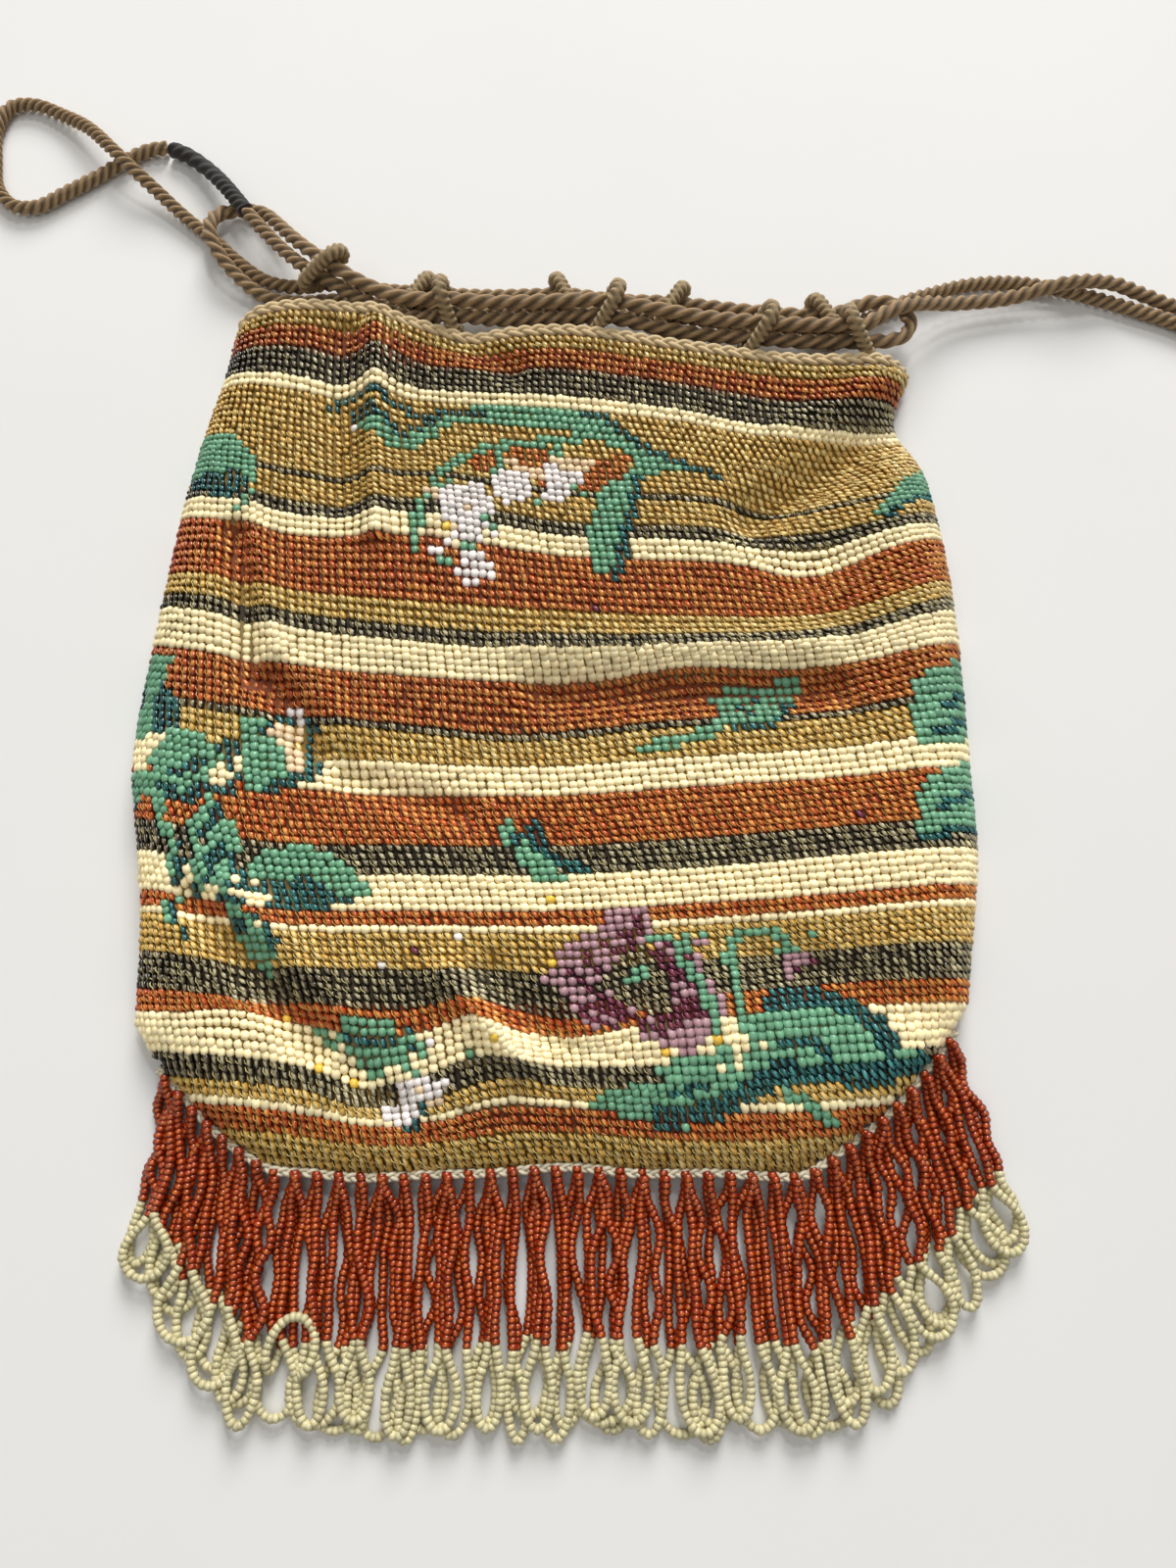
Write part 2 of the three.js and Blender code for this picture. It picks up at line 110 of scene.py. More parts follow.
# Dents and ridges: from, to, rise and half width
FOLDS = (
    ((-43, 104), (-40, 52), 2.6, 3.4),
    ((-51, 102), (-49, 60), -2.2, 4.8),
    ((-22, 101), (-12, 93), -2, 4),
    ((-71, 52), (-65, 18), -2.8, 2.8),
    ((-65, 50), (-59, 24), 1.4, 3.2),
    ((-61, 17), (-50, 1), -2.6, 3),
    ((-54, 21), (-43, 6), 1.2, 3.6),
    ((84, 84), (42, 56), -5, 5.5),
    ((82, 94), (50, 78), 1.4, 4.5),
    ((-8, 25), (55, 25), 2.2, 4.6),
    ((-4, 14), (58, 15), -2.8, 3.8),
    ((-43, -4), (-20, -11), -2.2, 3.4),
    ((-74, -28), (-47, -57), -3, 3.4),
    ((-66, -25), (-42, -50), 1.6, 3.6),
    ((-22, -44), (-7, -60), 2.8, 3.6),
    ((-13, -43), (1, -58), -1.8, 4),
    ((-40, -62), (-31, -68), -1.8, 4),
    ((40, -40), (70, -50), -2, 7),
)
# Places where the folds pull the rows up (negative) or down: column, row, half widths in columns and
# rows, and the pull in rows
PULLS = (
    (24, 8, 3.5, 8, -1.6),
    (29, 102, 7, 9, 1.3),
    (11, 33, 2.5, 8, -0.8),
    (88, 8, 9, 5, 1.8),
    (76, 33, 6, 4, 1.8),
    (4, 52, 8, 8, 1.5),
    (48, 43.5, 22, 4, 0.9),
    (62, 50.5, 8, 3.5, -1.2),
    (43, 56.5, 9, 3, 0.9),
    (16, 91.5, 3.5, 3.5, 1.3),
    (14, 97.5, 5, 2.5, -1.4),
    (39, 97.5, 3.5, 6, -1.9),
    (50, 93.5, 6, 6, 2.2),
    (27.5, 102, 3, 3.5, 1.2),
    (43, 105, 4.5, 5, -1.4),
    (62, 108, 18, 3, -0.9),
)

# Thread fabric under the beads
GROUND_DEPTH = 0.9  # from the outer surface down to it
GROUND_GRID = (176, 72, 56)  # points round it, and rows on its outer and its inner side
GROUND_CROWD = 0.09  # how much closer the points stand at the side folds
GROUND_PAINTED_SHADE = 0.8  # how much of the painted shade under the beads its outer side takes on

# Beads of the knit
KNIT_SEED = 11
FRONT_BEAD_SIDES = 7
BACK_BEAD_SIDES = 4
USUAL_SPACING = (1.85, 1.62)  # from bead to bead across and down
MIDDLE_ROW = 0.56  # share of the rows where the columns are even
RUN_POINTS = 2001  # points that the run of that row is measured by
ROW_STRETCH = 1.0035  # brings the last row to the edge
SIDE_MARGIN = 0.04  # from the side folds to the outermost beads, across
SLANT_SPREAD = 0.1  # how much the beads differ in slant
SIZE_SPREAD = 0.045  # and in size
# Rows, and how much lighter the beads are painted there: painted light where the value is above nought,
# painted shade where it is below
ROW_PAINTED_LIGHT_AND_SHADE = (
    (0, 5, 9, 45, 52, 62, 88, 100, 106, 110, 116),
    (-0.45, -0.4, 0, 0, -0.2, 0.35, 0.55, 0.4, 0, -0.3, -0.35),
)
# Thread beside the clear beads
THREAD_SPARSE = ("dark", "teal", "plum")  # bead colours that show less of it
STITCH_REACH = 1.15  # half its length
STITCH_BESIDE = 0.74  # from the bead's middle
STITCH_RAISED = 0.45  # above the bead's middle

# Drawstrings and the thread binding over the left one's join
CORD_PLIES = 3
CORD_SIDES = 21
CORD_STEP = 0.55
CORD_BANDS = 7  # bands that the map of a cord is cut into
BINDING_STEP = 0.22
PLY_GROOVE = 0.66  # least radius between the plies, as a share of the whole
SWELL = 0.025  # how much the thickness varies along a cord,
SWELLINGS = 23  # how often,
SWELL_GROUPS = 7  # and in how many groups
RIB_HEIGHT = 0.09  # of the binding thread
THREAD_LIGHT = 1.15  # how much lighter a thread is painted on its crests and raised fibres, as painted light
TWIST_DRIFT = 0.3  # how much tighter the plies turn on the tightest part of a cord
TIGHT_AT = 0.82  # share of the route where that part is
LEFT_CORD = (
    (-76.2, 139.1, 6.7), (-71.5, 133, 7.6), (-66.2, 126.8, 8.4), (-61.2, 121.9, 9), (-56.5, 118.6, 9.5),
    (-48, 113.4, 8.8), (-37.5, 108.7, 8.4), (-32, 107.9, 8.4), (-26.8, 108.6, 8.7), (-16, 107.4, 8.8),
    (-4, 107.6, 8.8), (9.6, 108.1, 8.8), (20, 105.6, 8.8), (32, 103.2, 8.8), (44.6, 102.4, 8.7),
    (56, 101.4, 8.7), (68, 101.5, 8.7), (75, 102.2, 8), (79.8, 105, 6.8), (81, 109.3, 6),
    (78.4, 113.6, 5.6), (72.5, 114.4, 5.7), (66.5, 112.4, 5.3), (61.5, 111.3, 5), (43, 113.2, 4.2),
    (25.4, 114.8, 5), (13, 116, 4.2), (0.6, 117, 5), (-17, 117.2, 4.2), (-34.5, 117.6, 5),
    (-46, 119.4, 4), (-56, 121.6, 3), (-65, 121.3, 2.4), (-72, 123.4, 2), (-79, 128.8, 1.9),
    (-85.2, 135, 1.9), (-92.2, 141.2, 1.9), (-100.2, 148.6, 3.2), (-106, 153.6, 5.1),
    (-111.2, 158.8, 5.7), (-118.6, 166.8, 4.2), (-126.2, 172.4, 2.3), (-134.2, 176.2, 1.9),
    (-140, 175.4, 1.9), (-142.8, 169, 1.9), (-142, 159.5, 1.9), (-140.2, 151, 1.9),
    (-135.6, 145.4, 1.9), (-129.8, 145, 1.9), (-123, 149.2, 1.9), (-115, 154.6, 1.9),
    (-109.6, 158.8, 1.9), (-104, 162, 1.9), (-99.3, 162.7, 2.1),
)
WHIPPING = (
    (-98, 162.2, 2.2), (-93.5, 159.8, 2.4), (-88, 154.8, 3.4), (-82.8, 148.4, 5.2), (-76.6, 139.7, 6.6),
)
RIGHT_CORD = (
    (163.6, 111.8, 1.9), (162.4, 116.2, 1.9), (158, 118.6, 1.9), (152, 118, 1.9), (146.2, 116.4, 1.9),
    (139, 118.6, 2.8), (130, 120.6, 4.8), (120, 120, 5.7), (106.1, 117.2, 3.8), (92, 114.8, 4.8),
    (85, 112.6, 7.8), (80, 110.4, 10), (75, 107.8, 11.2), (68.2, 103.7, 11.5), (62, 103.7, 11.7),
    (56, 103.7, 11.7), (45, 104.6, 11.5), (33, 105.6, 11.7), (22, 107.8, 11.7), (10.2, 110.3, 11.6),
    (-3, 110, 11.7), (-16, 109.7, 11.7), (-26.2, 110.8, 11.5), (-37, 111.2, 11.4), (-47.5, 115.8, 11.6),
    (-55.1, 121, 11.7), (-59.6, 125, 10.6), (-64.8, 131, 8.2), (-69.4, 137.4, 5.2),
    (-73.6, 142.4, 2.6), (-79, 144, 1.9), (-84, 141.6, 3.4), (-85.4, 136.4, 5.5),
    (-83.6, 130.4, 5.3), (-78.6, 123.8, 3.8), (-71, 118.4, 2.2), (-63, 117.2, 2),
    (-55, 117.4, 2.4), (-46, 115.8, 3.2), (-34.5, 114.1, 4.8), (-26, 113.6, 3.4), (-17, 113.4, 3.4),
    (0.6, 113.5, 4.8), (9, 112.8, 3.4), (13, 112.4, 3.4), (25.4, 111.3, 4.8), (43, 109.6, 3.6),
    (61.5, 107.8, 4.8), (67, 109.4, 3.4), (72.5, 113, 2), (79, 116.6, 1.9), (88, 119.8, 1.9),
    (97.8, 122.4, 1.9), (109.2, 122.8, 1.9), (120.4, 120.6, 1.9), (132, 116.8, 1.9), (146, 111.4, 1.9),
    (152, 107.4, 1.9), (157.6, 105.8, 1.9), (162, 107.6, 1.9), (163.6, 111.4, 1.9),
)

# Crocheted trim: braid round the mouth, and flattened loops round two cords each: name, middle, and in
# degrees the tilt of the long side, its lean to the right and the turn in plan
GAP = 0.45
BRAID_RADIUS = 1.2
BRAID_LIFT = 0.15
BRAID_POINTS = 56
BRAID_STEP = 0.44
BRAID_SIDES = 7
PLAIT_BANDS = 8
BRAID_PLAIT = (0.85, 0.38, 0.66)  # swing, rise and strand
LOOP_TUBE = 1.3
LOOP_SIDES = 14
LOOP_STEP = 0.24
LOOP_BANDS = 3
LOOP_BEND = 3.35
LOOP_HALF_STRAIGHT = 2.5
LOOPS = (
    ("ring_front_1", (-55.8, 119.8, 10.6), 36, 26, 31),
    ("ring_front_2", (-26.5, 109.7, 10.1), 54, -16, 0),
    ("ring_front_3", (9.9, 109.2, 10.2), 54, 31, 0),
    ("ring_front_4", (44.8, 103.5, 10.1), 54, 30, 0),
    ("ring_front_5", (68, 102.6, 10.1), 54, -30, 0),
    ("ring_back_1", (-34.5, 115.8, 4.9), 4, 32, 0),
    ("ring_back_2", (0.6, 115.3, 4.9), 4, -26, 0),
    ("ring_back_3", (25.4, 113.1, 4.9), 4, 32, 0),
    ("ring_back_4", (61.5, 109.6, 4.9), 4, -30, 0),
)

# Bottom edge: where it starts at the sides, and the swing, rise and strand of its plait
EDGE_TOP_LEFT = -60
EDGE_TOP_RIGHT = -53
EDGE_SIDE_POINTS = 12
EDGE_BOTTOM_POINTS = 14
EDGE_SEARCH = 121  # rows that are looked through for its starts
EDGE_STEP = 0.5
EDGING_PLAIT = (0.58, 0.32, 0.43)
EDGING_POINTS = 60
EDGING_SIDES = 6
EDGING_STEP = 0.3
EDGING_OUT = 0.35  # how far the edging lies beyond the pouch,
EDGING_LIFT = 0.85  # above its seam,
EDGING_WAVER = 0.3  # and how far it strays from there

# Fringe: lengths of the strings and their leans in degrees at even stations from left to right
FRINGE_LENGTH = (36.5, 44, 45.5, 45.5, 45.5, 44, 38.5)
FRINGE_LEAN = (-3, -2, -1, 0, 2, 6, 15)
FRINGE_SEED = 5
FRINGE_BEAD_SIDES = 6
FRINGE_TOPS = 42  # places on the edge that the strings hang from
FRINGE_LAYER = 0.7  # from one layer of strings to the next
STRAND_SHARE = 0.68  # share of a string's way down that is rust
PALE_SIZE = 0.94  # of a pale bead against a rust one
STRING_POINTS = 240
STRING_INSET = 0.3  # how far inside the edge a string starts
STRING_LIFT = 1.2  # and how far above the seam
LEG_LIFT = 0.45  # half of how far one leg of a string lies above the other
LENGTH_SPREAD = 1.3  # how much the strings differ in length,
LEAN_SPREAD = 1.2  # in lean, in degrees,
LEG_DRIFT = 0.6  # in how far a leg strays
LOOP_DRIFT = 1.2  # and in how far a loop does
LEG_WAVES = ((0.6, 11), (0.4, 23))  # usual size of a leg's waves, and their radians from top to tip
LOOP_TIP = 0.87  # share of the way down where the round tip of a loop starts
FOLDED_STRING = 12  # string whose loop lies folded back
FOLD_BACK = 0.78  # share of its way down where it folds
FOLD_LIFT = 2.6  # and how far it then lies above its layer

# Stripes from the mouth down: colour and rows
STRIPES = (
    ("gold", 2), ("rust", 3), ("dark", 4), ("cream", 2), ("gold", 12), ("dark", 1), ("gold", 4),
    ("dark", 2), ("cream", 3), ("rust", 7), ("gold", 3), ("dark", 2), ("cream", 5), ("rust", 6),
    ("dark", 1), ("gold", 4), ("cream", 4), ("rust", 7), ("dark", 4), ("cream", 5), ("rust", 2),
    ("cream", 1), ("gold", 5), ("dark", 5), ("rust", 3), ("cream", 5), ("dark", 3), ("gold", 2),
    ("cream", 1), ("rust", 3), ("gold", 5),
)

# Columns of the chart from fold to fold, which the knit's columns are spread over, and how far the columns
# drift to the right with each row
CHART_COLUMNS = 96
COLUMN_DRIFT = 0.17

# Floral sprigs on the chart of columns from the left fold and rows from the mouth: filled outlines, runs
# of beads with a width, single beads, and specks, which are one bead in so many of an outline, laid one
# over the other
LEAF, RUN, DOTS, SPECKS = "leaf", "run", "dots", "specks"
SPRIGS = (
    # long leaf under the mouth with its curled tip
    ("green", LEAF, ((32, 13), (38, 11), (51, 11), (55, 12), (57, 14), (59, 16), (63, 17), (63, 18), (57, 19),
                     (56, 16), (51, 13), (38, 13), (32, 14))),
    ("green", LEAF, ((21, 15), (25, 15), (28, 17), (32, 14), (32, 16), (29, 18), (27, 18), (24, 16))),
    ("teal", RUN, ((18, 12), (20, 11), (25, 11), (27, 12), (31, 13)), 1),
    ("teal", LEAF, ((21, 13), (24, 13), (24, 14), (21, 14))),
    ("teal", RUN, ((25, 14), (28, 16), (31, 14), (33, 12), (38, 12)), 1),
    ("teal", RUN, ((51, 11), (54, 11), (56, 13), (58, 15), (61, 17), (67, 19)), 1),
    # leaf hanging from it
    ("green", LEAF, ((57, 19), (53, 21), (52, 25), (51, 30), (52, 34), (54, 34), (55, 29), (57, 22))),
    ("teal", RUN, ((57, 20), (56, 26), (55, 30), (55, 32), (54, 35)), 1.2),
    # arched stem with rust shade and white bells
    ("rust", LEAF, ((35, 20), (39, 18), (39, 21))),
    ("rust", LEAF, ((41, 17), (46, 17), (46, 22), (45, 22), (44, 19), (41, 18))),
    ("rust", LEAF, ((51, 18), (56, 17), (55, 19), (52, 22), (50, 22))),
    ("green", RUN, ((31, 34), (31, 29), (32, 26), (33, 23), (35, 20), (37, 18), (39, 17), (43, 16), (47, 15),
                    (52, 14)), 1),
    ("green", RUN, ((40, 18), (40, 21)), 1),
    ("green", RUN, ((47, 15), (47, 18)), 1),
    ("white", LEAF, ((34, 25), (38, 24), (40, 27), (39, 29), (38, 32), (36, 32), (34, 30))),
    ("white", LEAF, ((40, 21), (44, 21), (44, 23), (43, 25), (41, 26), (40, 24))),
    ("white", LEAF, ((46, 19), (50, 20), (50, 21), (48, 24), (46, 24))),
    ("white", LEAF, ((37, 34), (36, 36), (38, 37), (40, 36), (39, 34))),
    ("pink", LEAF, ((41, 19), (45, 20), (45, 21), (42, 20))),
    ("pink", LEAF, ((47, 18), (51, 18), (51, 19), (48, 19))),
    ("pink", DOTS, ((32, 26), (33, 26), (33, 27), (34, 32), (35, 31), (37, 28), (36, 33), (33, 32))),
    ("white", DOTS, ((33, 34), (34, 34), (35, 33), (40, 31))),
    ("green", DOTS, ((39, 29), (40, 30), (34, 24), (33, 25), (45, 25), (50, 23), (49, 22), (34, 35), (35, 35),
                     (37, 33), (38, 33))),
    # leaves at the side folds, upper rows
    ("green", LEAF, ((-4, 22), (-2, 20), (3, 19), (6, 19), (8, 20), (10, 22), (11, 24), (11, 26), (-3, 26))),
    ("teal", LEAF, ((1, 27), (6, 26), (9, 25), (10, 27), (8, 29), (3, 28))),
    ("green", RUN, ((11, 28), (10, 31)), 1),
    ("green", LEAF, ((89, 21), (93, 18), (98, 18), (98, 22), (91, 24), (88, 25), (86, 27), (85, 26),
                     (87, 23))),
    ("teal", RUN, ((90, 24), (97, 23)), 1),
    ("teal", RUN, ((86, 27), (89, 25)), 1),
    # tall leaf on the left fold
    ("green", LEAF, ((-1, 52), (3, 51), (5, 51), (6, 60), (-3, 62), (-4, 55))),
    ("teal", RUN, ((1, 55), (1, 57)), 1),
    ("teal", RUN, ((-2, 57), (-1, 63)), 1),
    ("teal", LEAF, ((5, 54), (7, 56), (8, 60), (5, 60), (4, 57))),
    # cluster of leaves at the left, with pink buds
    ("cream", LEAF, ((1, 64), (5, 62), (5, 64), (2, 66))),
    ("green", LEAF, ((7, 60), (11, 60), (13, 62), (12, 64), (12, 66), (9, 68), (6, 67), (5, 64))),
    ("teal", RUN, ((8, 65), (11, 63)), 1),
    ("teal", RUN, ((6, 67), (9, 68), (12, 66)), 1.4),
    ("green", LEAF, ((-4, 66), (5, 66), (6, 68), (-3, 70))),
    ("teal", DOTS, ((1, 67), (0, 69), (-1, 71), (2, 70), (9, 64), (13, 61))),
    ("cream", LEAF, ((12, 64), (14, 62), (14, 64), (13, 66))),
    ("green", LEAF, ((15, 57), (17, 57), (17, 59), (20, 60), (20, 63), (19, 65), (16, 65), (15, 61))),
    ("teal", RUN, ((14, 60), (14, 63)), 1),
    ("teal", RUN, ((14, 66), (15, 64)), 1),
    ("teal", RUN, ((17, 58), (19, 56)), 1),
    ("teal", RUN, ((18, 65), (20, 64), (23, 62), (22, 60), (22, 57), (21, 56)), 1),
    ("pink", LEAF, ((18, 58), (19, 57), (20, 59), (19, 59))),
    ("pink", LEAF, ((20, 60), (21, 60), (21, 62), (20, 62))),
    ("pink", DOTS, ((20, 57), (21, 58), (21, 57))),
    ("white", DOTS, ((20, 55), (19, 55), (20, 56))),
    ("green", RUN, ((12, 67), (12, 68), (11, 70), (10, 71), (10, 75), (10, 79)), 1),
    ("teal", RUN, ((13, 68), (12, 70), (11, 72)), 1),
    ("green", RUN, ((6, 68), (6, 71), (7, 74), (7, 78)), 1),
    ("teal", DOTS, ((8, 74), (8, 76), (8, 77))),
    ("green", LEAF, ((12, 71), (14, 70), (15, 72), (14, 75), (13, 78), (11, 78), (11, 74))),
    ("teal", RUN, ((12, 74), (11, 78)), 1),
    ("teal", RUN, ((13, 73), (14, 75), (15, 77)), 1),
    ("green", LEAF, ((16, 75), (18, 73), (21, 72), (24, 73), (26, 75), (28, 78), (26, 79), (18, 79),
                     (17, 77))),
    ("teal", LEAF, ((18, 77), (22, 76), (24, 78), (26, 79), (23, 80), (18, 80))),
    ("teal", RUN, ((14, 78), (16, 78), (18, 77)), 1),
    ("green", LEAF, ((13, 79), (13, 82), (14, 85), (15, 87), (17, 89), (18, 87), (17, 85), (15, 82))),
    ("teal", RUN, ((12, 80), (15, 80)), 1),
    ("teal", DOTS, ((13, 83), (14, 83), (16, 82), (17, 83), (17, 84), (18, 85), (18, 86), (14, 84))),
    ("teal", DOTS, ((7, 79), (8, 78), (9, 79), (9, 80), (7, 82), (7, 83), (7, 84), (8, 85), (8, 86))),
    ("green", DOTS, ((6, 82), (6, 83), (6, 84), (7, 81))),
    # hanging leaf at the middle right
    ("green", LEAF, ((67, 52), (74, 51), (73, 54), (72, 56), (67, 57), (66, 55), (65, 53))),
    ("teal", RUN, ((67, 57), (71, 57), (73, 54)), 1),
    ("teal", DOTS, ((69, 53), (69, 55), (68, 54))),
    ("green", RUN, ((66, 55), (65, 57), (63, 58), (57, 59)), 1.3),
    # leaves on the right fold
    ("green", LEAF, ((87, 54), (89, 53), (93, 52), (99, 53), (99, 60), (89, 61), (87, 61), (86, 58))),
    ("teal", RUN, ((90, 57), (96, 55)), 1),
    ("teal", RUN, ((89, 60), (97, 58)), 1),
    ("green", LEAF, ((86, 68), (89, 65), (94, 64), (100, 66), (100, 71), (92, 73), (86, 73))),
    ("teal", RUN, ((88, 70), (96, 67)), 1),
    ("teal", RUN, ((86, 74), (98, 72)), 1),
    # small leaf in the middle
    ("green", LEAF, ((44, 71), (46, 71), (47, 75), (48, 76), (46, 76), (44, 73))),
    ("teal", RUN, ((44, 70), (44, 71)), 1),
    ("teal", RUN, ((46, 68), (46, 71), (48, 74), (51, 75)), 1.2),
    ("green", RUN, ((43, 68), (43, 71)), 1),
    # violet with dark middle
    ("mauve", LEAF, ((53, 81), (57, 81), (57, 85), (55, 88), (52, 86))),
    ("mauve", LEAF, ((47, 89), (48, 86), (51, 84), (54, 86), (54, 89), (50, 90))),
    ("mauve", LEAF, ((58, 86), (61, 86), (63, 89), (63, 92), (60, 91), (58, 88))),
    ("mauve", LEAF, ((50, 91), (54, 91), (56, 93), (56, 95), (53, 95), (51, 94))),
    ("mauve", LEAF, ((57, 96), (60, 92), (64, 92), (66, 95), (65, 98), (62, 100), (58, 98))),
    ("plum", SPECKS, ((49, 87), (53, 84), (56, 82), (57, 85), (61, 87), (63, 91), (64, 96), (61, 98),
                      (57, 97), (52, 95), (51, 91)), 3),
    ("dark", LEAF, ((55, 87), (57, 86), (58, 88), (60, 93), (60, 95), (58, 95), (55, 92), (53, 89))),
    ("plum", RUN, ((55, 86), (56, 84)), 1.2),
    ("plum", RUN, ((58, 87), (60, 88), (61, 91)), 1.2),
    ("plum", RUN, ((51, 92), (54, 93), (55, 95)), 1),
    ("plum", RUN, ((58, 97), (61, 96), (63, 94)), 1.4),
    ("green", DOTS, ((56, 89), (57, 89), (55, 90), (56, 90), (57, 90))),
    # stems and leaves at the lower right
    ("green", RUN, ((61, 85), (61, 88), (62, 90), (63, 91), (64, 94), (65, 97), (66, 100)), 1),
    ("green", RUN, ((67, 85), (66, 88), (67, 92), (68, 96), (69, 99), (70, 101)), 1),
    ("green", DOTS, ((57, 85), (58, 85), (59, 85), (63, 85), (75, 86), (71, 88))),
    ("mauve", DOTS, ((62, 86), (63, 86))),
    ("green", RUN, ((68, 85), (71, 85), (72, 87), (73, 88)), 1),
    ("mauve", LEAF, ((72, 89), (74, 89), (74, 91), (73, 92))),
    ("plum", DOTS, ((75, 90), (74, 91))),
    ("green", LEAF, ((69, 98), (71, 96), (76, 96), (80, 98), (83, 99), (84, 102), (88, 102), (87, 103),
                     (82, 104), (77, 104), (72, 104), (69, 102))),
    ("teal", RUN, ((71, 95), (76, 95), (80, 97), (83, 99), (84, 101)), 2),
    ("teal", RUN, ((72, 100), (76, 100), (77, 101)), 1),
    ("teal", RUN, ((73, 104), (77, 103), (80, 104), (84, 104), (88, 103)), 2),
    ("green", LEAF, ((65, 101), (72, 101), (72, 104), (65, 104))),
    ("cream", DOTS, ((66, 102), (68, 101), (68, 102), (70, 100))),
    ("green", LEAF, ((52, 107), (54, 105), (58, 104), (64, 103), (70, 104), (69, 106), (65, 108), (61, 109),
                     (57, 108))),
    ("teal", RUN, ((60, 108), (65, 107), (70, 104), (73, 103)), 2.6),
    ("teal", RUN, ((61, 105), (64, 104)), 1),
    ("green", LEAF, ((59, 102), (61, 101), (65, 101), (64, 103), (60, 103))),
    ("green", RUN, ((73, 105), (74, 106), (76, 107), (78, 109)), 1),
    # leaf and white flower at the lower left
    ("green", LEAF, ((25, 97), (26, 95), (30, 95), (32, 97), (31, 99), (29, 100), (27, 99))),
    ("green", RUN, ((22, 97), (24, 98)), 1),
    ("teal", RUN, ((26, 97), (31, 97)), 1),
    ("green", RUN, ((32, 98), (32, 100)), 1),
    ("green", RUN, ((33, 97), (34, 99)), 1),
    ("teal", DOTS, ((33, 98), (33, 96))),
    ("green", DOTS, ((33, 101), (39, 101))),
    ("white", LEAF, ((32, 102), (34, 102), (37, 103), (36, 104), (34, 105), (32, 107), (30, 106), (30, 105),
                     (32, 104))),
    ("pink", DOTS, ((35, 105), (36, 105), (34, 103))),
    ("teal", RUN, ((34, 105), (34, 106), (33, 108)), 1),
    # single odd beads
    ("yellow", DOTS, ((65, 99), (47, 87), (19, 96), (23, 101), (27, 101), (42, 99), (47, 79), (34, 31),
                      (60, 100))),
    ("white", DOTS, ((35, 98), (21, 15), (37, 84), (29, 88))),
    ("plum", DOTS, ((52, 39), (80, 70), (33, 86))),
)

# Bead finishes: rim shade colour, painted round the rim as painted shade; body colour; glow colour, painted
# in the glass as painted light; how clear the glass is
FINISHES = {
    "gold": ("62440a", "deac42", "fff2bc", 1.0),
    "rust": ("4c1000", "c04a04", "ffc468", 1.0),
    "dark": ("050300", "30240a", "fff0c0", 1.0),
    "cream": ("c8ae6c", "ffeebc", "fff8d8", 0.3),
    "green": ("346c4a", "6aa07c", "a8d4b4", 0.4),
    "teal": ("01161a", "0c444a", "5cb0a6", 0.9),
    "white": ("b8aca4", "f2eae4", "fffaf6", 0.3),
    "pink": ("b09068", "e6caa2", "f8e6c6", 0.3),
    "mauve": ("5c3a42", "ae868c", "dcbec0", 0.45),
    "plum": ("1c0610", "5e2038", "b86078", 0.8),
    "yellow": ("a87810", "ecc03c", "fce690", 0.5),
    "fringe_rust": ("400800", "962a02", "e47c30", 0.8),
    "fringe_pale": ("aca07a", "d0c69a", "eee8c8", 0.35),
}
SCALE_TIP = (-0.1, 0.22)  # how far the beads tip to the right and up the column
JITTER = 0.085  # how far the beads stray from their places
SEE_THROUGH = 0.5  # finishes clearer than this sit slanted with the thread showing beside them
OUTLINE_REACH = 0.4  # how far outside an outline, and
RUN_REACH = 0.1  # outside a run of the chart a bead still takes its colour


def linear(code):
    """Scene-linear colour of a six-digit code."""
    parts = [int(code[i : i + 2], 16) / 255 for i in (0, 2, 4)]
    return tuple(c / 12.92 if c <= 0.04045 else ((c + 0.055) / 1.055) ** 2.4 for c in parts)


def size_property(name, description, default):
    """A length property with its default in metres."""
    return FloatProperty(name=name, description=description, default=default, unit="LENGTH")


def count_property(name, description, default, least):
    """A whole-number property with its default and its least value."""
    return IntProperty(name=name, description=description, default=default, min=least)


class KnitSettings(bpy.types.PropertyGroup):
    """Sizes of the bead knitting."""

    front_columns: count_property("Front columns", "Columns of beads across the front", 101, 8)
    back_columns: count_property("Back columns", "Columns of beads across the back", 97, 8)
    clear_long: size_property("Clear bead length", "Long side of a slanted glass bead", 0.0027)
    clear_short: size_property("Clear bead width", "Short side of a slanted glass bead", 0.00128)
    solid_long: size_property("Opaque bead length", "Long side of an opaque bead", 0.00243)
    solid_short: size_property("Opaque bead width", "Short side of an opaque bead", 0.00208)
    height: size_property("Bead rise", "How far a bead stands over its middle", 0.00078)
    slant: FloatProperty(name="Slant", description="Lean of the beads from the row",
                         default=math.radians(50), subtype="ANGLE")
    unevenness: FloatProperty(name="Unevenness", description="How much the beads tilt",
                              default=0.12, subtype="FACTOR")
    thread: size_property("Thread", "Thickness of the knitting thread", 0.00029)


class CordSettings(bpy.types.PropertyGroup):
    """Sizes of the drawstrings."""

    diameter: size_property("Diameter", "Thickness of a drawstring", 0.0035)
    lay: size_property("Lay", "Length of one full turn of the plies", 0.0084)
    binding: size_property("Binding", "Thickness over the thread binding", 0.0039)
    wrap: size_property("Wrap", "Pitch of the binding thread", 0.0006)


class TrimSettings(bpy.types.PropertyGroup):
    """Sizes of the crocheted trim."""

    plait: size_property("Plait", "Length of one turn of the mouth plait", 0.0102)
    stitch: size_property("Stitch", "Pitch of the stitches round a loop", 0.0015)
    edging_plait: size_property("Edging plait", "Length of one stitch of the bottom edging", 0.0058)


class FringeSettings(bpy.types.PropertyGroup):
    """Sizes of the fringe."""

    strings: count_property("Strings", "Looped strings of beads along the edge", 60, 2)
    bead: size_property("Bead", "Diameter of a fringe bead", 0.0021)
    pitch: size_property("Pitch", "Spacing of the beads on a string", 0.00115)
    sway: size_property("Sway", "How far the strings wander sideways", 0.0006)


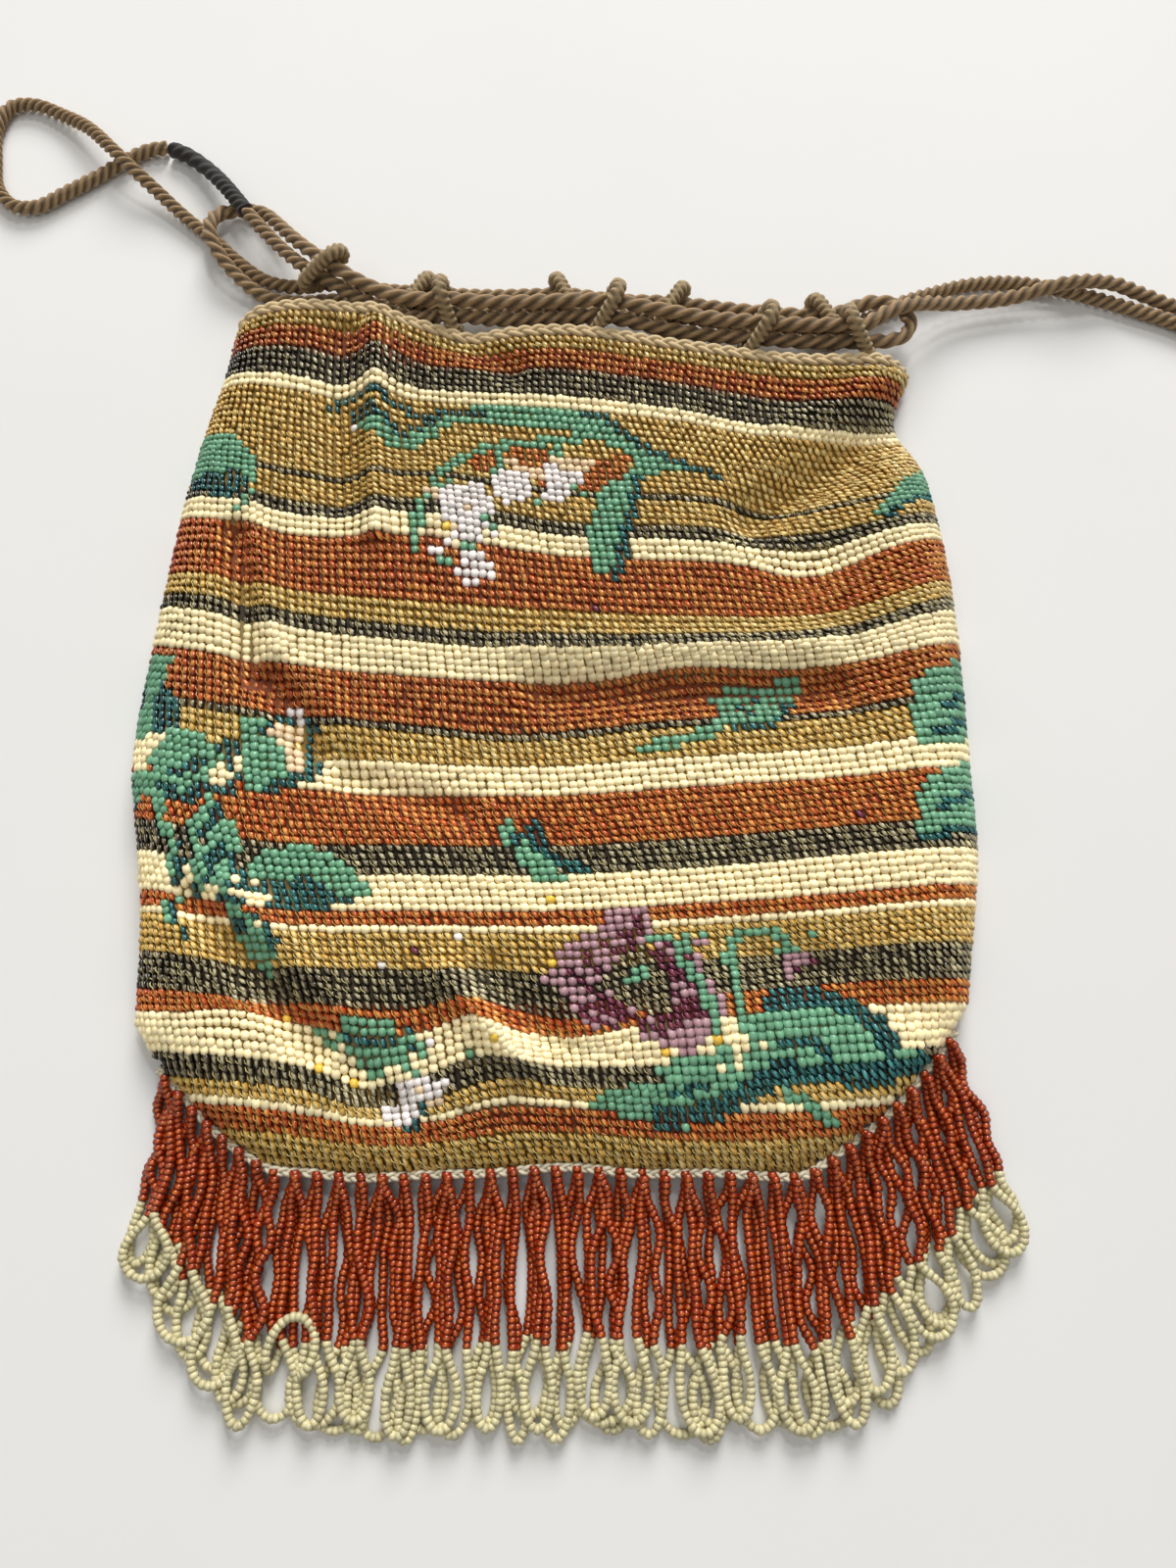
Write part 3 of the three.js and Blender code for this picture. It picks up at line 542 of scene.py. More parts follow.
def colour_property(name, code):
    """A colour property with its default from a six-digit code."""
    return FloatVectorProperty(name=name, description=f"Colour of the {name.lower()}", default=linear(code),
                               size=3, min=0, max=1, subtype="COLOR")


class PurseColours(bpy.types.PropertyGroup):
    """Main colours of the threads and of the table."""

    crochet: colour_property("Crochet thread", "c2a678")
    braid: colour_property("Mouth braid", "dcc294")
    cord: colour_property("Drawstrings", "ac8c62")
    binding: colour_property("Binding thread", "2e2926")
    edging: colour_property("Edging thread", "e0d6ba")
    ground: colour_property("Knitting thread", "8a7a54")
    stitch: colour_property("Thread between the beads", "fff0cc")
    floor: colour_property("Table", "ecebe8")


# Curves and surfaces of the pouch


def cubic(a, b, out, into, t):
    """Cubic from a to b as t goes from 0 to 1, that leaves a with slope out and reaches b with slope into."""
    leaving = a * (1 + 2 * t) * (1 - t) ** 2 + out * t * (1 - t) ** 2
    return leaving + b * t * t * (3 - 2 * t) - into * t * t * (1 - t)


def smooth_through(stations, values, at):
    """Smooth curve through values at rising stations: on each span a cubic with the end values, whose end
    slopes are those of the line joining the neighbouring stations."""
    s = np.asarray(stations, float)
    v = np.asarray(values, float)
    last = len(s) - 1
    i = np.clip(np.searchsorted(s, at) - 1, 0, last - 1)

    def pick(k):
        return v[k] if v.ndim == 1 else np.take_along_axis(v, k[None], 0)[0]

    def slope(k):
        before, after = np.maximum(k - 1, 0), np.minimum(k + 1, last)
        return (pick(after) - pick(before)) / (s[after] - s[before])

    span = s[i + 1] - s[i]
    return cubic(pick(i), pick(i + 1), slope(i) * span, slope(i + 1) * span, (at - s[i]) / span)


def quarter_round(t):
    """Height of a quarter circle of radius 1 at a distance t from its foot."""
    return np.sqrt(1 - (1 - np.clip(t, 0, 1)) ** 2)


def soft_step(t, low, high):
    """Rises from 0 at low to 1 at high as 3t squared less 2t cubed."""
    t = np.clip((t - low) / (high - low), 0, 1)
    return t * t * (3 - 2 * t)


def row_y(row, across):
    """Place of a row in the purse's length, through the guide rows and then through the stations."""
    row, across = np.broadcast_arrays(np.asarray(row, float), np.asarray(across, float))
    values = np.stack([smooth_through(GUIDE_ROWS, places, row) for places in zip(*ROW_PLACES)])
    return smooth_through(np.linspace(0, 1, len(values)), values, across)


def corner_inset(corner, y):
    """How far a cut corner stands in from the side: a superellipse from the corner's top down."""
    t = np.clip((corner["top"] - y) / corner["rise"], 0, 1)
    return corner["run"] * (1 - (1 - t**CORNER_POWER) ** (1 / CORNER_POWER))


def row_ends(row):
    """Left end and width of a row before the corners are cut, and where it starts and ends after that. The
    cut depends on the row's place there, so it is found in a few passes."""
    left = smooth_through(GUIDE_ROWS, LEFT_FOLD, row)
    width = smooth_through(GUIDE_ROWS, RIGHT_FOLD, row) - left
    start, end = np.zeros_like(width), np.ones_like(width)
    for _ in range(CORNER_PASSES):
        start = corner_inset(LEFT_CORNER, row_y(row, start)) / width
        end = 1 - corner_inset(RIGHT_CORNER, row_y(row, end)) / width
    return left, width, start, end


def off_segment(x, y, start, end):
    """Offsets of points from the nearest point of the straight line between two points."""
    (ax, ay), (bx, by) = start, end
    dx, dy = bx - ax, by - ay
    t = np.clip(((x - ax) * dx + (y - ay) * dy) / max(dx * dx + dy * dy, TINY), 0, 1)
    return x - ax - t * dx, y - ay - t * dy


def fold_rise(x, y):
    """Sum over the folds of rise times exp of minus the squared distance to the fold's line over its squared
    half width."""
    total = np.zeros_like(x)
    for start, end, rise, wide in FOLDS:
        over, up = off_segment(x, y, start, end)
        total += rise * np.exp(-(over**2 + up**2) / wide**2)
    return total


def pouch(share, row, front, depth=0.0):
    """Point of the pouch at a share of its row and at a row, below the outer surface by depth. The front
    rises from the side folds and the bottom seam as quarter rounds to the row's height and its folds; the
    back does the same down to the table, and its mouth edge stands out beyond the front's."""
    share, row = np.broadcast_arrays(np.asarray(share, float), np.asarray(row, float))
    left, width, start, end = row_ends(row)
    across = start + share * (end - start)
    half = (end - start) * width / 2
    x = left + (start + end) / 2 * width + (share - 0.5) * 2 * (half - depth)
    side = np.minimum(share, 1 - share) * 2 * half
    outer = row_y(row, across)
    low = outer - row_y(np.full_like(row, KNIT_ROWS), across)
    y = outer + depth * (1 - soft_step(low, 0, BOTTOM_BLEND))
    if front:
        lift = quarter_round(side / SIDE_ROUND) * quarter_round(low / BOTTOM_ROUND)
        top = smooth_through(GUIDE_ROWS, FRONT_HEIGHT, row) + fold_rise(x, y)
        return np.stack([x, y, EDGE_Z + (top - depth - EDGE_Z) * lift], -1)
    lift = quarter_round(side / BACK_ROUND) * quarter_round(low / BACK_ROUND)
    inward = soft_step(share * 2 * half, 0, BACK_RISE_LEFT)
    inward = inward * soft_step((1 - share) * 2 * half, 0, BACK_RISE_RIGHT)
    y = y + BACK_RISE * inward * (1 - soft_step(row, 0, BACK_RISE_ROWS))
    return np.stack([x, y, EDGE_Z - (EDGE_Z - depth) * lift], -1)


def unit(v):
    """Vectors divided by their lengths."""
    return v / np.linalg.norm(v, axis=-1, keepdims=True)


def run_along(path):
    """Distance along a path at each of its points."""
    return np.concatenate([[0], np.cumsum(np.linalg.norm(np.diff(path, axis=0), axis=1))])


def points_along(path, run, at):
    """Points of a path at distances along it."""
    return np.stack([np.interp(at, run, path[:, i]) for i in range(3)], 1)


def smooth_route(points, spacing, closed=False):
    """Centripetal curve through points: on each span a cubic whose slopes weigh the neighbouring spans by
    the square roots of their lengths. Returned at even spacing, with its length."""
    p = np.asarray(points, float)
    before, after = (p[-1:], p[:2]) if closed else (2 * p[:1] - p[1:2], 2 * p[-1:] - p[-2:-1])
    q = np.concatenate([before, p, after])
    a, b, c, d = q[:-3], q[1:-2], q[2:-1], q[3:]
    ab, bc, cd = (np.linalg.norm(v, axis=1)[:, None] ** 0.5 for v in (b - a, c - b, d - c))
    out = ((b - a) / ab - (c - a) / (ab + bc) + (c - b) / bc) * bc
    into = ((c - b) / bc - (d - b) / (bc + cd) + (d - c) / cd) * bc
    t = np.linspace(0, 1, SPAN_POINTS, endpoint=False)[:, None]
    curve = cubic(*(v[:, None] for v in (b, c, out, into)), t)
    dense = np.concatenate([curve.reshape(-1, 3), p[:1] if closed else p[-1:]])
    run = run_along(dense)
    at = np.linspace(0, run[-1], round(run[-1] / spacing) + 1)
    return points_along(dense, run, at[:-1] if closed else at), run[-1]


def tangents(path, closed=False):
    """Unit directions along a path, from each point's two neighbours."""
    return unit(np.roll(path, -1, 0) - np.roll(path, 1, 0) if closed else np.gradient(path, axis=0))


def side_and_top(path, closed=False):
    """Directions across a path: side is up crossed with the way along it, top that way crossed with side."""
    along = tangents(path, closed)
    side = unit(np.cross(UP, along))
    return side, np.cross(along, side)


def carry(path, offsets, closed=False):
    """Profile carried along a path: each point is the path's plus its offsets along side and top."""
    side, top = side_and_top(path, closed)
    return path[:, None] + offsets[..., :1] * side[:, None] + offsets[..., 1:] * top[:, None]


def even_angles(count):
    """Angles at even steps round a circle."""
    return 2 * np.pi * np.arange(count) / count


def circle(angle):
    """Points of a unit circle at angles."""
    return np.stack([np.cos(angle), np.sin(angle)], -1)


def round_mouth(count):
    """Even places round the pouch: which are on the front, and their shares from the left fold."""
    turn = np.arange(count) / count
    front = turn <= 0.5
    return front, np.where(front, 2 * turn, 2 - 2 * turn)


def halves(quads):
    """Two triangles for each quad, or their corners on the map."""
    return np.concatenate([quads[:, [0, 1, 2]], quads[:, [0, 2, 3]]])


def ring_faces(rings, around, closed=False):
    """Quads between neighbouring rings of points, facing outwards."""
    r = np.arange(rings if closed else rings - 1)[:, None]
    k = np.arange(around)[None]
    r2, k2 = (r + 1) % rings, (k + 1) % around
    return np.stack([r * around + k, r * around + k2, r2 * around + k2, r2 * around + k], -1).reshape(-1, 4)


def strip_map(rings, around, closed=False, bands=1):
    """Map of a long tube, cut into bands that lie one above the other with a margin between them."""
    spans = rings if closed else rings - 1
    per = -(-spans // bands)
    r = np.arange(spans)[:, None] + np.zeros((1, around), int)
    k = np.arange(around)[None] + np.zeros((spans, 1), int)
    corners = [(r % per + i, r // per, k + j) for i, j in ((0, 0), (0, 1), (1, 1), (1, 0))]
    filled = 1 - 2 * MAP_MARGIN
    uv = [
        np.stack([u / per, (band + MAP_MARGIN + filled * v / around) / bands], -1) for u, band, v in corners
    ]
    return np.stack(uv, 2).reshape(-1, 4, 2)


def make_piece(name, points, faces, material, slot, uv=None, weld=False, **attributes):
    """Puts points in millimetres and faces of one kind into a mesh at the origin, with a map and its
    attributes."""
    mesh = bpy.data.meshes.new(name)
    faces = np.ascontiguousarray(faces, np.int32)
    mesh.vertices.add(len(points))
    mesh.vertices.foreach_set("co", (np.asarray(points, float) * MM).astype(np.float32).ravel())
    mesh.loops.add(faces.size)
    mesh.loops.foreach_set("vertex_index", faces.ravel())
    mesh.polygons.add(len(faces))
    mesh.polygons.foreach_set("loop_start", np.arange(0, faces.size, faces.shape[1], dtype=np.int32))
    mesh.polygons.foreach_set("use_smooth", np.ones(len(faces), bool))
    for key, values in attributes.items():
        kind, field = ("FLOAT", "value") if values.ndim == 1 else ("FLOAT_VECTOR", "vector")
        mesh.attributes.new(key, kind, "POINT").data.foreach_set(field, values.astype(np.float32).ravel())
    if uv is not None:
        mesh.uv_layers.new(name=BAKE_MAP).data.foreach_set("uv", uv.astype(np.float32).ravel())
    mesh.update(calc_edges=True)
    if weld:
        work = bmesh.new()
        work.from_mesh(mesh)
        bmesh.ops.remove_doubles(work, verts=work.verts, dist=WELD)
        work.to_mesh(mesh)
        work.free()
    mesh.validate()
    mesh.materials.append(material)
    piece = bpy.data.objects.new(name, mesh)
    bpy.context.scene.collection.objects.link(piece)
    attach(piece, BODY)
    return piece


# Materials


def feed(tree, sockets, values):
    """Links or sets sockets by their names."""
    for key, value in values.items():
        if isinstance(value, bpy.types.NodeSocket):
            tree.links.new(value, sockets[key])
        else:
            sockets[key].default_value = value


def add_node(tree, kind, inputs=(), **settings):
    """A node with its settings, and its inputs linked or set."""
    node = tree.nodes.new(kind)
    for key, value in settings.items():
        setattr(node, key, value)
    feed(tree, node.inputs, dict(inputs))
    return node


def read_attribute(tree, name, output="Fac"):
    """Output of a node that reads one of the piece's own attributes."""
    return add_node(tree, "ShaderNodeAttribute", attribute_name=name).outputs[output]


def maths(tree, operation, a, b, clamp=False):
    """Result of an arithmetic operation on two values."""
    return add_node(tree, "ShaderNodeMath", {0: a, 1: b}, operation=operation, use_clamp=clamp).outputs[0]


def blend_colours(tree, amount, a, b, mode="MIX"):
    """Colour a turning into colour b by the amount."""
    node = add_node(tree, "ShaderNodeMix", {0: amount, 6: a, 7: b}, data_type="RGBA", blend_type=mode)
    return node.outputs[2]


def shader_group(name, inputs, outputs):
    """New node group with named sockets, the sockets of its inputs and the node of its outputs."""
    tree = bpy.data.node_groups.new(name, "ShaderNodeTree")
    for label, kind in inputs:
        tree.interface.new_socket(label, in_out="INPUT", socket_type=f"NodeSocket{kind}")
    for label, kind in outputs:
        tree.interface.new_socket(label, in_out="OUTPUT", socket_type=f"NodeSocket{kind}")
    return tree, tree.nodes.new("NodeGroupInput").outputs, tree.nodes.new("NodeGroupOutput")


def scaled(tree, value, factor, shift):
    """A value times a factor, plus a shift."""
    return maths(tree, "ADD", maths(tree, "MULTIPLY", value, factor), shift)


def noise(tree, scale, detail, place=None):
    """Noise at a place, or at the piece's own coordinates."""
    if place is None:
        place = add_node(tree, "ShaderNodeTexCoord").outputs["Object"]
    inputs = {"Vector": place, "Scale": scale, "Detail": detail}
    return add_node(tree, "ShaderNodeTexNoise", inputs).outputs[0]


def bead_group():
    """Glass bead: the rim shade colour painted round its rim as painted shade, the body colour on its crown
    and the painted glow colour where light would leave it as painted light, all by its clearness, with a
    shade and a tint of its own and specks of dust. Its shade is random tone with the painted light and shade
    of its row."""
    if "bead_glass" in bpy.data.node_groups:
        return bpy.data.node_groups["bead_glass"]
    inputs = (("Rim shade", "Color"), ("Body", "Color"), ("Painted glow", "Color"), ("Clearness", "Float"))
    tree, given, end = shader_group("bead_glass", inputs, (("Colour", "Color"), ("Roughness", "Float")))
    crest, lens, tint, shade = (read_attribute(tree, name) for name in ("crest", "lens", "tint", "shade"))
    clear = given["Clearness"]
    # painted shade: the rim shade colour covers the body colour towards the rim, where crest is low
    rim = maths(tree, "MULTIPLY", maths(tree, "SUBTRACT", 1.0, crest), clear)
    colour = blend_colours(tree, maths(tree, "MULTIPLY", rim, 0.9, True), given["Body"], given["Rim shade"])
    # painted light: the painted glow colour where the painted glow spot is high, by each bead's tint
    lit = maths(tree, "MULTIPLY", maths(tree, "SUBTRACT", lens, 0.42), 2.0, True)
    strength = maths(tree, "MULTIPLY", scaled(tree, tint, 0.7, 0.25), clear)
    colour = blend_colours(tree, maths(tree, "MULTIPLY", lit, strength, True), colour, given["Painted glow"])
    # the value follows shade: random tone, with the painted light and shade of the row added in
    own = {"Hue": scaled(tree, tint, 0.01, 0.495), "Value": scaled(tree, shade, 0.34, 0.83), "Color": colour}
    colour = add_node(tree, "ShaderNodeHueSaturation", own).outputs[0]
    dusty = scaled(tree, noise(tree, 900.0, 2.0), 0.3, scaled(tree, clear, -0.25, 0.3))
    feed(tree, end.inputs, {"Colour": colour, "Roughness": dusty})
    return tree


def thread_group():
    """Spun thread: fibres as noise drawn out along the thread, painted darker in its grooves as painted shade
    and lighter on its crests as painted light, with slow patches of wear over the piece."""
    if "spun_thread" in bpy.data.node_groups:
        return bpy.data.node_groups["spun_thread"]
    inputs = (("Light", "Color"), ("Dark", "Color"), ("Fibre", "Float"))
    outputs = (("Colour", "Color"), ("Roughness", "Float"), ("Height", "Float"))
    tree, given, end = shader_group("spun_thread", inputs, outputs)
    fibre = noise(tree, given["Fibre"], 3.0, read_attribute(tree, "thread", "Vector"))
    # painted light and shade: crest, low in the grooves and high on the crests, moves the colour between dark
    # and light
    spun = scaled(tree, read_attribute(tree, "crest"), 0.75, maths(tree, "MULTIPLY", fibre, 0.7))
    wear = maths(tree, "MULTIPLY", noise(tree, 70.0, 3.0), 0.2)
    amount = maths(tree, "ADD", maths(tree, "SUBTRACT", spun, 0.5), wear, True)
    colour = blend_colours(tree, amount, given["Dark"], given["Light"])
    feed(tree, end.inputs, {"Colour": colour, "Roughness": scaled(tree, fibre, 0.25, 0.7), "Height": fibre})
    return tree


def thread_look(tree, light, dark, fibre, bump, distance):
    """Colour, roughness and normal of spun thread between a light and a dark colour, its fibres raised."""
    inputs = {"Light": (*light, 1), "Dark": (*dark, 1), "Fibre": fibre}
    group = add_node(tree, "ShaderNodeGroup", inputs, node_tree=thread_group()).outputs
    raised = {"Height": group["Height"], "Strength": bump, "Distance": distance}
    return group["Colour"], group["Roughness"], add_node(tree, "ShaderNodeBump", raised).outputs[0]


def ground_material(colour):
    """Knitting thread, on its outer side painted with the rim shade colour of the beads over it and some of
    the
    body colour of clear ones: painted shade between the beads, and painted light coloured by clear glass."""
    material, tree, shader = principled("knitting_thread")
    own, rough, raised = thread_look(tree, colour, [0.3 * c for c in colour], 1.2, 0.6, 0.0003)
    stripes = add_node(tree, "ShaderNodeValToRGB", {"Fac": read_attribute(tree, "row")})
    ramp = stripes.color_ramp
    ramp.interpolation = "CONSTANT"
    ramp.elements.remove(ramp.elements[1])
    row = 0
    for finish, rows in STRIPES:
        stop = ramp.elements.new(row / KNIT_ROWS) if row else ramp.elements[0]
        rim_shade, body, _, clearness = FINISHES[finish]
        # painted shade under the beads: part of the rim shade colour, and for clear beads painted light of
        # their body colour as well
        part = 0.3 if clearness > SEE_THROUGH else 0.0
        stop.color = (*(0.4 * a + part * b for a, b in zip(linear(rim_shade), linear(body))), 1)
        row += rows
    # the painted shade is laid on the outer side only
    mixed = blend_colours(tree, read_attribute(tree, "outer"), own, stripes.outputs["Color"])
    feed(tree, shader.inputs, {"Base Color": mixed, "Roughness": rough, "Normal": raised})
    return material


def principled(name):
    """New material with its principled shader."""
    material = bpy.data.materials.new(name)
    material.use_nodes = True
    shader = next(n for n in material.node_tree.nodes if n.type == "BSDF_PRINCIPLED")
    return material, material.node_tree, shader


def bead_material(finish):
    """Glass of one bead finish, with a clear shine."""
    material, tree, shader = principled(f"{finish}_glass")
    *codes, clearness = FINISHES[finish]
    inputs = {key: (*linear(code), 1) for key, code in zip(("Rim shade", "Body", "Painted glow"), codes)}
    group = add_node(tree, "ShaderNodeGroup", {**inputs, "Clearness": clearness}, node_tree=bead_group())
    look = {"Base Color": group.outputs["Colour"], "Roughness": group.outputs["Roughness"], "IOR": 1.52,
            "Specular IOR Level": 0.35, "Coat Weight": 0.3 * clearness, "Coat Roughness": 0.06}
    feed(tree, shader.inputs, look)
    return material


def thread_material(name, colour, dark=0.35, fibre=1.6, bump=0.25, dyed=False):
    """Spun thread of one colour, painted darker in its grooves as painted shade, with fibres raised by a
    bump, and where chosen tinted with the piece's own painted glow tint, which is painted light.
    """
    material, tree, shader = principled(name)
    light = [min(1, THREAD_LIGHT * c) for c in colour]
    shown, rough, raised = thread_look(tree, light, [dark * c for c in colour], fibre, bump, 0.0002)
    if dyed:
        shown = blend_colours(tree, 1.0, shown, read_attribute(tree, "dye", "Color"), "MULTIPLY")
    look = {"Base Color": shown, "Roughness": rough, "Normal": raised, "Sheen Weight": 0.15,
            "Sheen Roughness": 0.5}
    feed(tree, shader.inputs, look)
    return material


# Tubes of thread and cord


def plies_round(around, plies, groove):
    """Outer radius of touching round plies at even angles, as a share of the whole: the far side of the
    nearest ply's circle, and never deeper than groove."""
    ply = 1 / (1 + 1 / math.sin(math.pi / plies))
    angle = even_angles(around)
    near = (angle + np.pi / plies) % (2 * np.pi / plies) - np.pi / plies
    far = (1 - ply) * np.cos(near) + np.sqrt(np.maximum(ply**2 - ((1 - ply) * np.sin(near)) ** 2, 0))
    return angle, np.maximum(far, groove)


def fibre_places(angle, run, radius, stretch=0.12):
    """Places on a cylinder for the fibres' noise: round it in millimetres, and along it drawn out."""
    angle, run = np.broadcast_arrays(angle, run)
    return np.stack([radius * np.cos(angle), radius * np.sin(angle), run * stretch], -1)


def closed_tube(points):
    """Adds a point ring of no width at both ends of a tube, so that it ends in a cap."""
    first, last = points[:1].mean(1, keepdims=True), points[-1:].mean(1, keepdims=True)
    return np.concatenate([np.repeat(first, points.shape[1], 1), points, np.repeat(last, points.shape[1], 1)])


def capped(points, places, crest):
    """Tube with caps, and the fibres' places and crests that go with them."""
    return closed_tube(points), closed_tube(places), np.concatenate([crest[:1], crest, crest[-1:]])


def twisted_cord(name, route, diameter, lay, material, slot, closed, wrap=None):
    """Cord of three plies: the plies' outline turned along the route a whole number of times, tighter on one
    part of the route and with slight swellings, and with wrap the fine ribs of a thread wound round it."""
    path, length = smooth_route(route, BINDING_STEP if wrap else CORD_STEP, closed)
    angle, outline = plies_round(CORD_SIDES, CORD_PLIES, PLY_GROOVE)
    run = np.arange(len(path)) / len(path)
    tight = np.sin(2 * np.pi * (run - TIGHT_AT)) + np.sin(2 * np.pi * TIGHT_AT)
    eased = run + TWIST_DRIFT / (2 * np.pi) * tight
    turned = angle[None] - 2 * np.pi * round(length / lay) * eased[:, None]
    swell = 1 + SWELL * np.sin(2 * np.pi * SWELLINGS * run) * np.sin(2 * np.pi * SWELL_GROUPS * run)
    radius = diameter / 2 * outline[None] * swell[:, None]
    # crest: painted shade in the grooves between the plies, painted light on their crowns
    crest = np.repeat(((outline - PLY_GROOVE) / (1 - PLY_GROOVE))[None], len(path), 0)
    if wrap:
        rib = np.abs(np.sin(np.pi * length * run[:, None] / wrap + turned / 2))
        radius = radius * 0.5 + diameter / 4 + RIB_HEIGHT * (rib - 0.5)
        # crest: painted shade between the binding's ribs, painted light on them
        crest = 0.4 + 0.5 * rib
    points = carry(path, radius[..., None] * circle(turned), closed)
    places = fibre_places(turned, length * run[:, None], diameter / 2)
    if not closed:
        points, places, crest = capped(points, places, crest)
    rings, around = points.shape[:2]
    piece = make_piece(name, points.reshape(-1, 3), ring_faces(rings, around, closed), material, slot,
                       strip_map(rings, around, closed, CORD_BANDS), weld=not closed,
                       thread=places.reshape(-1, 3), crest=crest.reshape(-1))
    return piece, path, length


def plaited(path, length, closed, sizes, stitch, sides):
    """Three strands plaited along a path: each swings sideways as a sine of the run and up and down as a
    sine of twice that, a third of a stitch apart. Sizes are the swing, the rise and a strand's radius."""
    swing, rise, strand = sizes
    stitches = round(length / stitch)
    run = np.arange(len(path)) / (len(path) if closed else len(path) - 1)
    angle = even_angles(sides)
    side, top = side_and_top(path, closed)
    tubes = []
    for k in range(3):
        phase = 2 * np.pi * (stitches * run + k / 3)
        middle = path + swing * np.sin(phase)[:, None] * side + rise * np.sin(2 * phase)[:, None] * top
        tube = carry(middle, strand * circle(angle)[None].repeat(len(path), 0), closed)
        places = fibre_places(angle[None] + 5 * k, length * run[:, None], strand)
        # crest: painted light on the top of each strand, painted shade under it
        crest = (0.6 + 0.4 * np.sin(angle))[None].repeat(len(path), 0)
        tubes.append((tube, places, crest) if closed else capped(tube, places, crest))
    rings = len(tubes[0][0])
    points, places, crest = (np.concatenate(parts) for parts in zip(*tubes))
    faces = np.concatenate([ring_faces(rings, sides, closed) + k * rings * sides for k in range(3)])
    maps = [strip_map(rings, sides, closed, PLAIT_BANDS) * (1, 1 / 3) + (0, k / 3) for k in range(3)]
    return points.reshape(-1, 3), faces, np.concatenate(maps), places.reshape(-1, 3), crest.reshape(-1)


# Mouth trim and bottom edge


def braid_point(share, front):
    """Middle of the mouth braid: half a wall below the mouth's edge and a radius and a gap beyond it."""
    point = pouch(share, np.zeros_like(share), front, WALL / 2)
    point[..., 1] += BRAID_RADIUS + GAP
    point[..., 2] = np.maximum(point[..., 2], BRAID_RADIUS + BRAID_LIFT)
    return point


def braid_route():
    """Points of the braid round the mouth: the front from left to right, then the back."""
    front, share = round_mouth(BRAID_POINTS)
    return np.where(front[:, None], braid_point(share, True), braid_point(share, False))


def loop_route():
    """Flattened ring, long along its second axis: two half circles joined by straight sides."""
    t = np.linspace(0, np.pi, 12)
    over = np.stack([LOOP_BEND * np.cos(t), LOOP_HALF_STRAIGHT + LOOP_BEND * np.sin(t), 0 * t], 1)
    return np.concatenate([over, over * (-1, -1, 1)])


def loop_axes(tilt, lean, turn):
    """Short side, long side and normal of a cord loop: the long side tilts up from +Y and leans to +X, and
    all three are turned about Z."""
    tilt, lean, turn = (math.radians(v) for v in (tilt, lean, turn))
    level = math.cos(lean)
    long = np.array([math.sin(lean), level * math.cos(tilt), level * math.sin(tilt)])
    short = np.array([0, -math.sin(tilt), math.cos(tilt)])
    spin = np.array([[math.cos(turn), -math.sin(turn), 0], [math.sin(turn), math.cos(turn), 0], [0, 0, 1]])
    return np.stack([short, long, np.cross(short, long)]) @ spin


def bottom_edge():
    """Edge of the pouch from the left side round the bottom to the right side, at even spacing."""
    rows = np.linspace(0, KNIT_ROWS, EDGE_SEARCH)

    def side(share, top):
        first = rows[np.argmax(row_y(rows, np.full_like(rows, share)) <= top)]
        at = np.linspace(first, KNIT_ROWS, EDGE_SIDE_POINTS)
        return pouch(np.full_like(at, share), at, True)

    across = np.linspace(0, 1, EDGE_BOTTOM_POINTS)[1:-1]
    bottom = pouch(across, np.full_like(across, KNIT_ROWS), True)
    points = np.concatenate([side(0.0, EDGE_TOP_LEFT), bottom, side(1.0, EDGE_TOP_RIGHT)[::-1]])
    return smooth_route(points, EDGE_STEP)


def beside_edge(share, outwards):
    """Point beyond the pouch's edge at a share of its run, outwards along the edge's normal in plan."""
    edge, _ = bottom_edge()
    along = tangents(edge)
    at = np.asarray(share) * (len(edge) - 1)
    index = np.arange(len(edge))
    x, y, tx, ty = (np.interp(at, index, v) for v in (edge[:, 0], edge[:, 1], along[:, 0], along[:, 1]))
    return np.stack([x + ty * outwards, y - tx * outwards, np.full_like(x, EDGE_Z)], -1)


# Beads


def bead_ring(around):
    """Unit ring of points set off by half a step, with their numbers and the numbers of the next ones."""
    angle = 2 * np.pi * (np.arange(around) + 0.5) / around
    j = np.arange(around)
    return np.stack([np.cos(angle), np.sin(angle), 0 * angle], 1), j, (j + 1) % around


def crown_bead(around):
    """Bead set in the knit: a ring, a smaller ring over it, a crown and a foot. Returns points, triangles
    and a map of each corner, the crown's disc large and the foot's small."""
    ring, j, k = bead_ring(around)
    points = np.concatenate([ring, ring * (0.76, 0.76, 1) + (0, 0, 0.68), [[0, 0, 0.94], [0, 0, -0.8]]])
    top, foot = np.full(around, 2 * around), np.full(around, 2 * around + 1)
    faces = np.concatenate([np.stack(f, 1) for f in (
        (j, k, k + around), (j, k + around, j + around), (j + around, k + around, top), (k, j, foot))])
    flat = np.concatenate([ring[:, :2] * 0.42, ring[:, :2] * 0.27, np.zeros((2, 2))]) + (0.44, 0.44)
    uv = flat[faces]
    uv[-around:] = uv[-around:] * 0.12 + 0.86
    return points, faces, uv


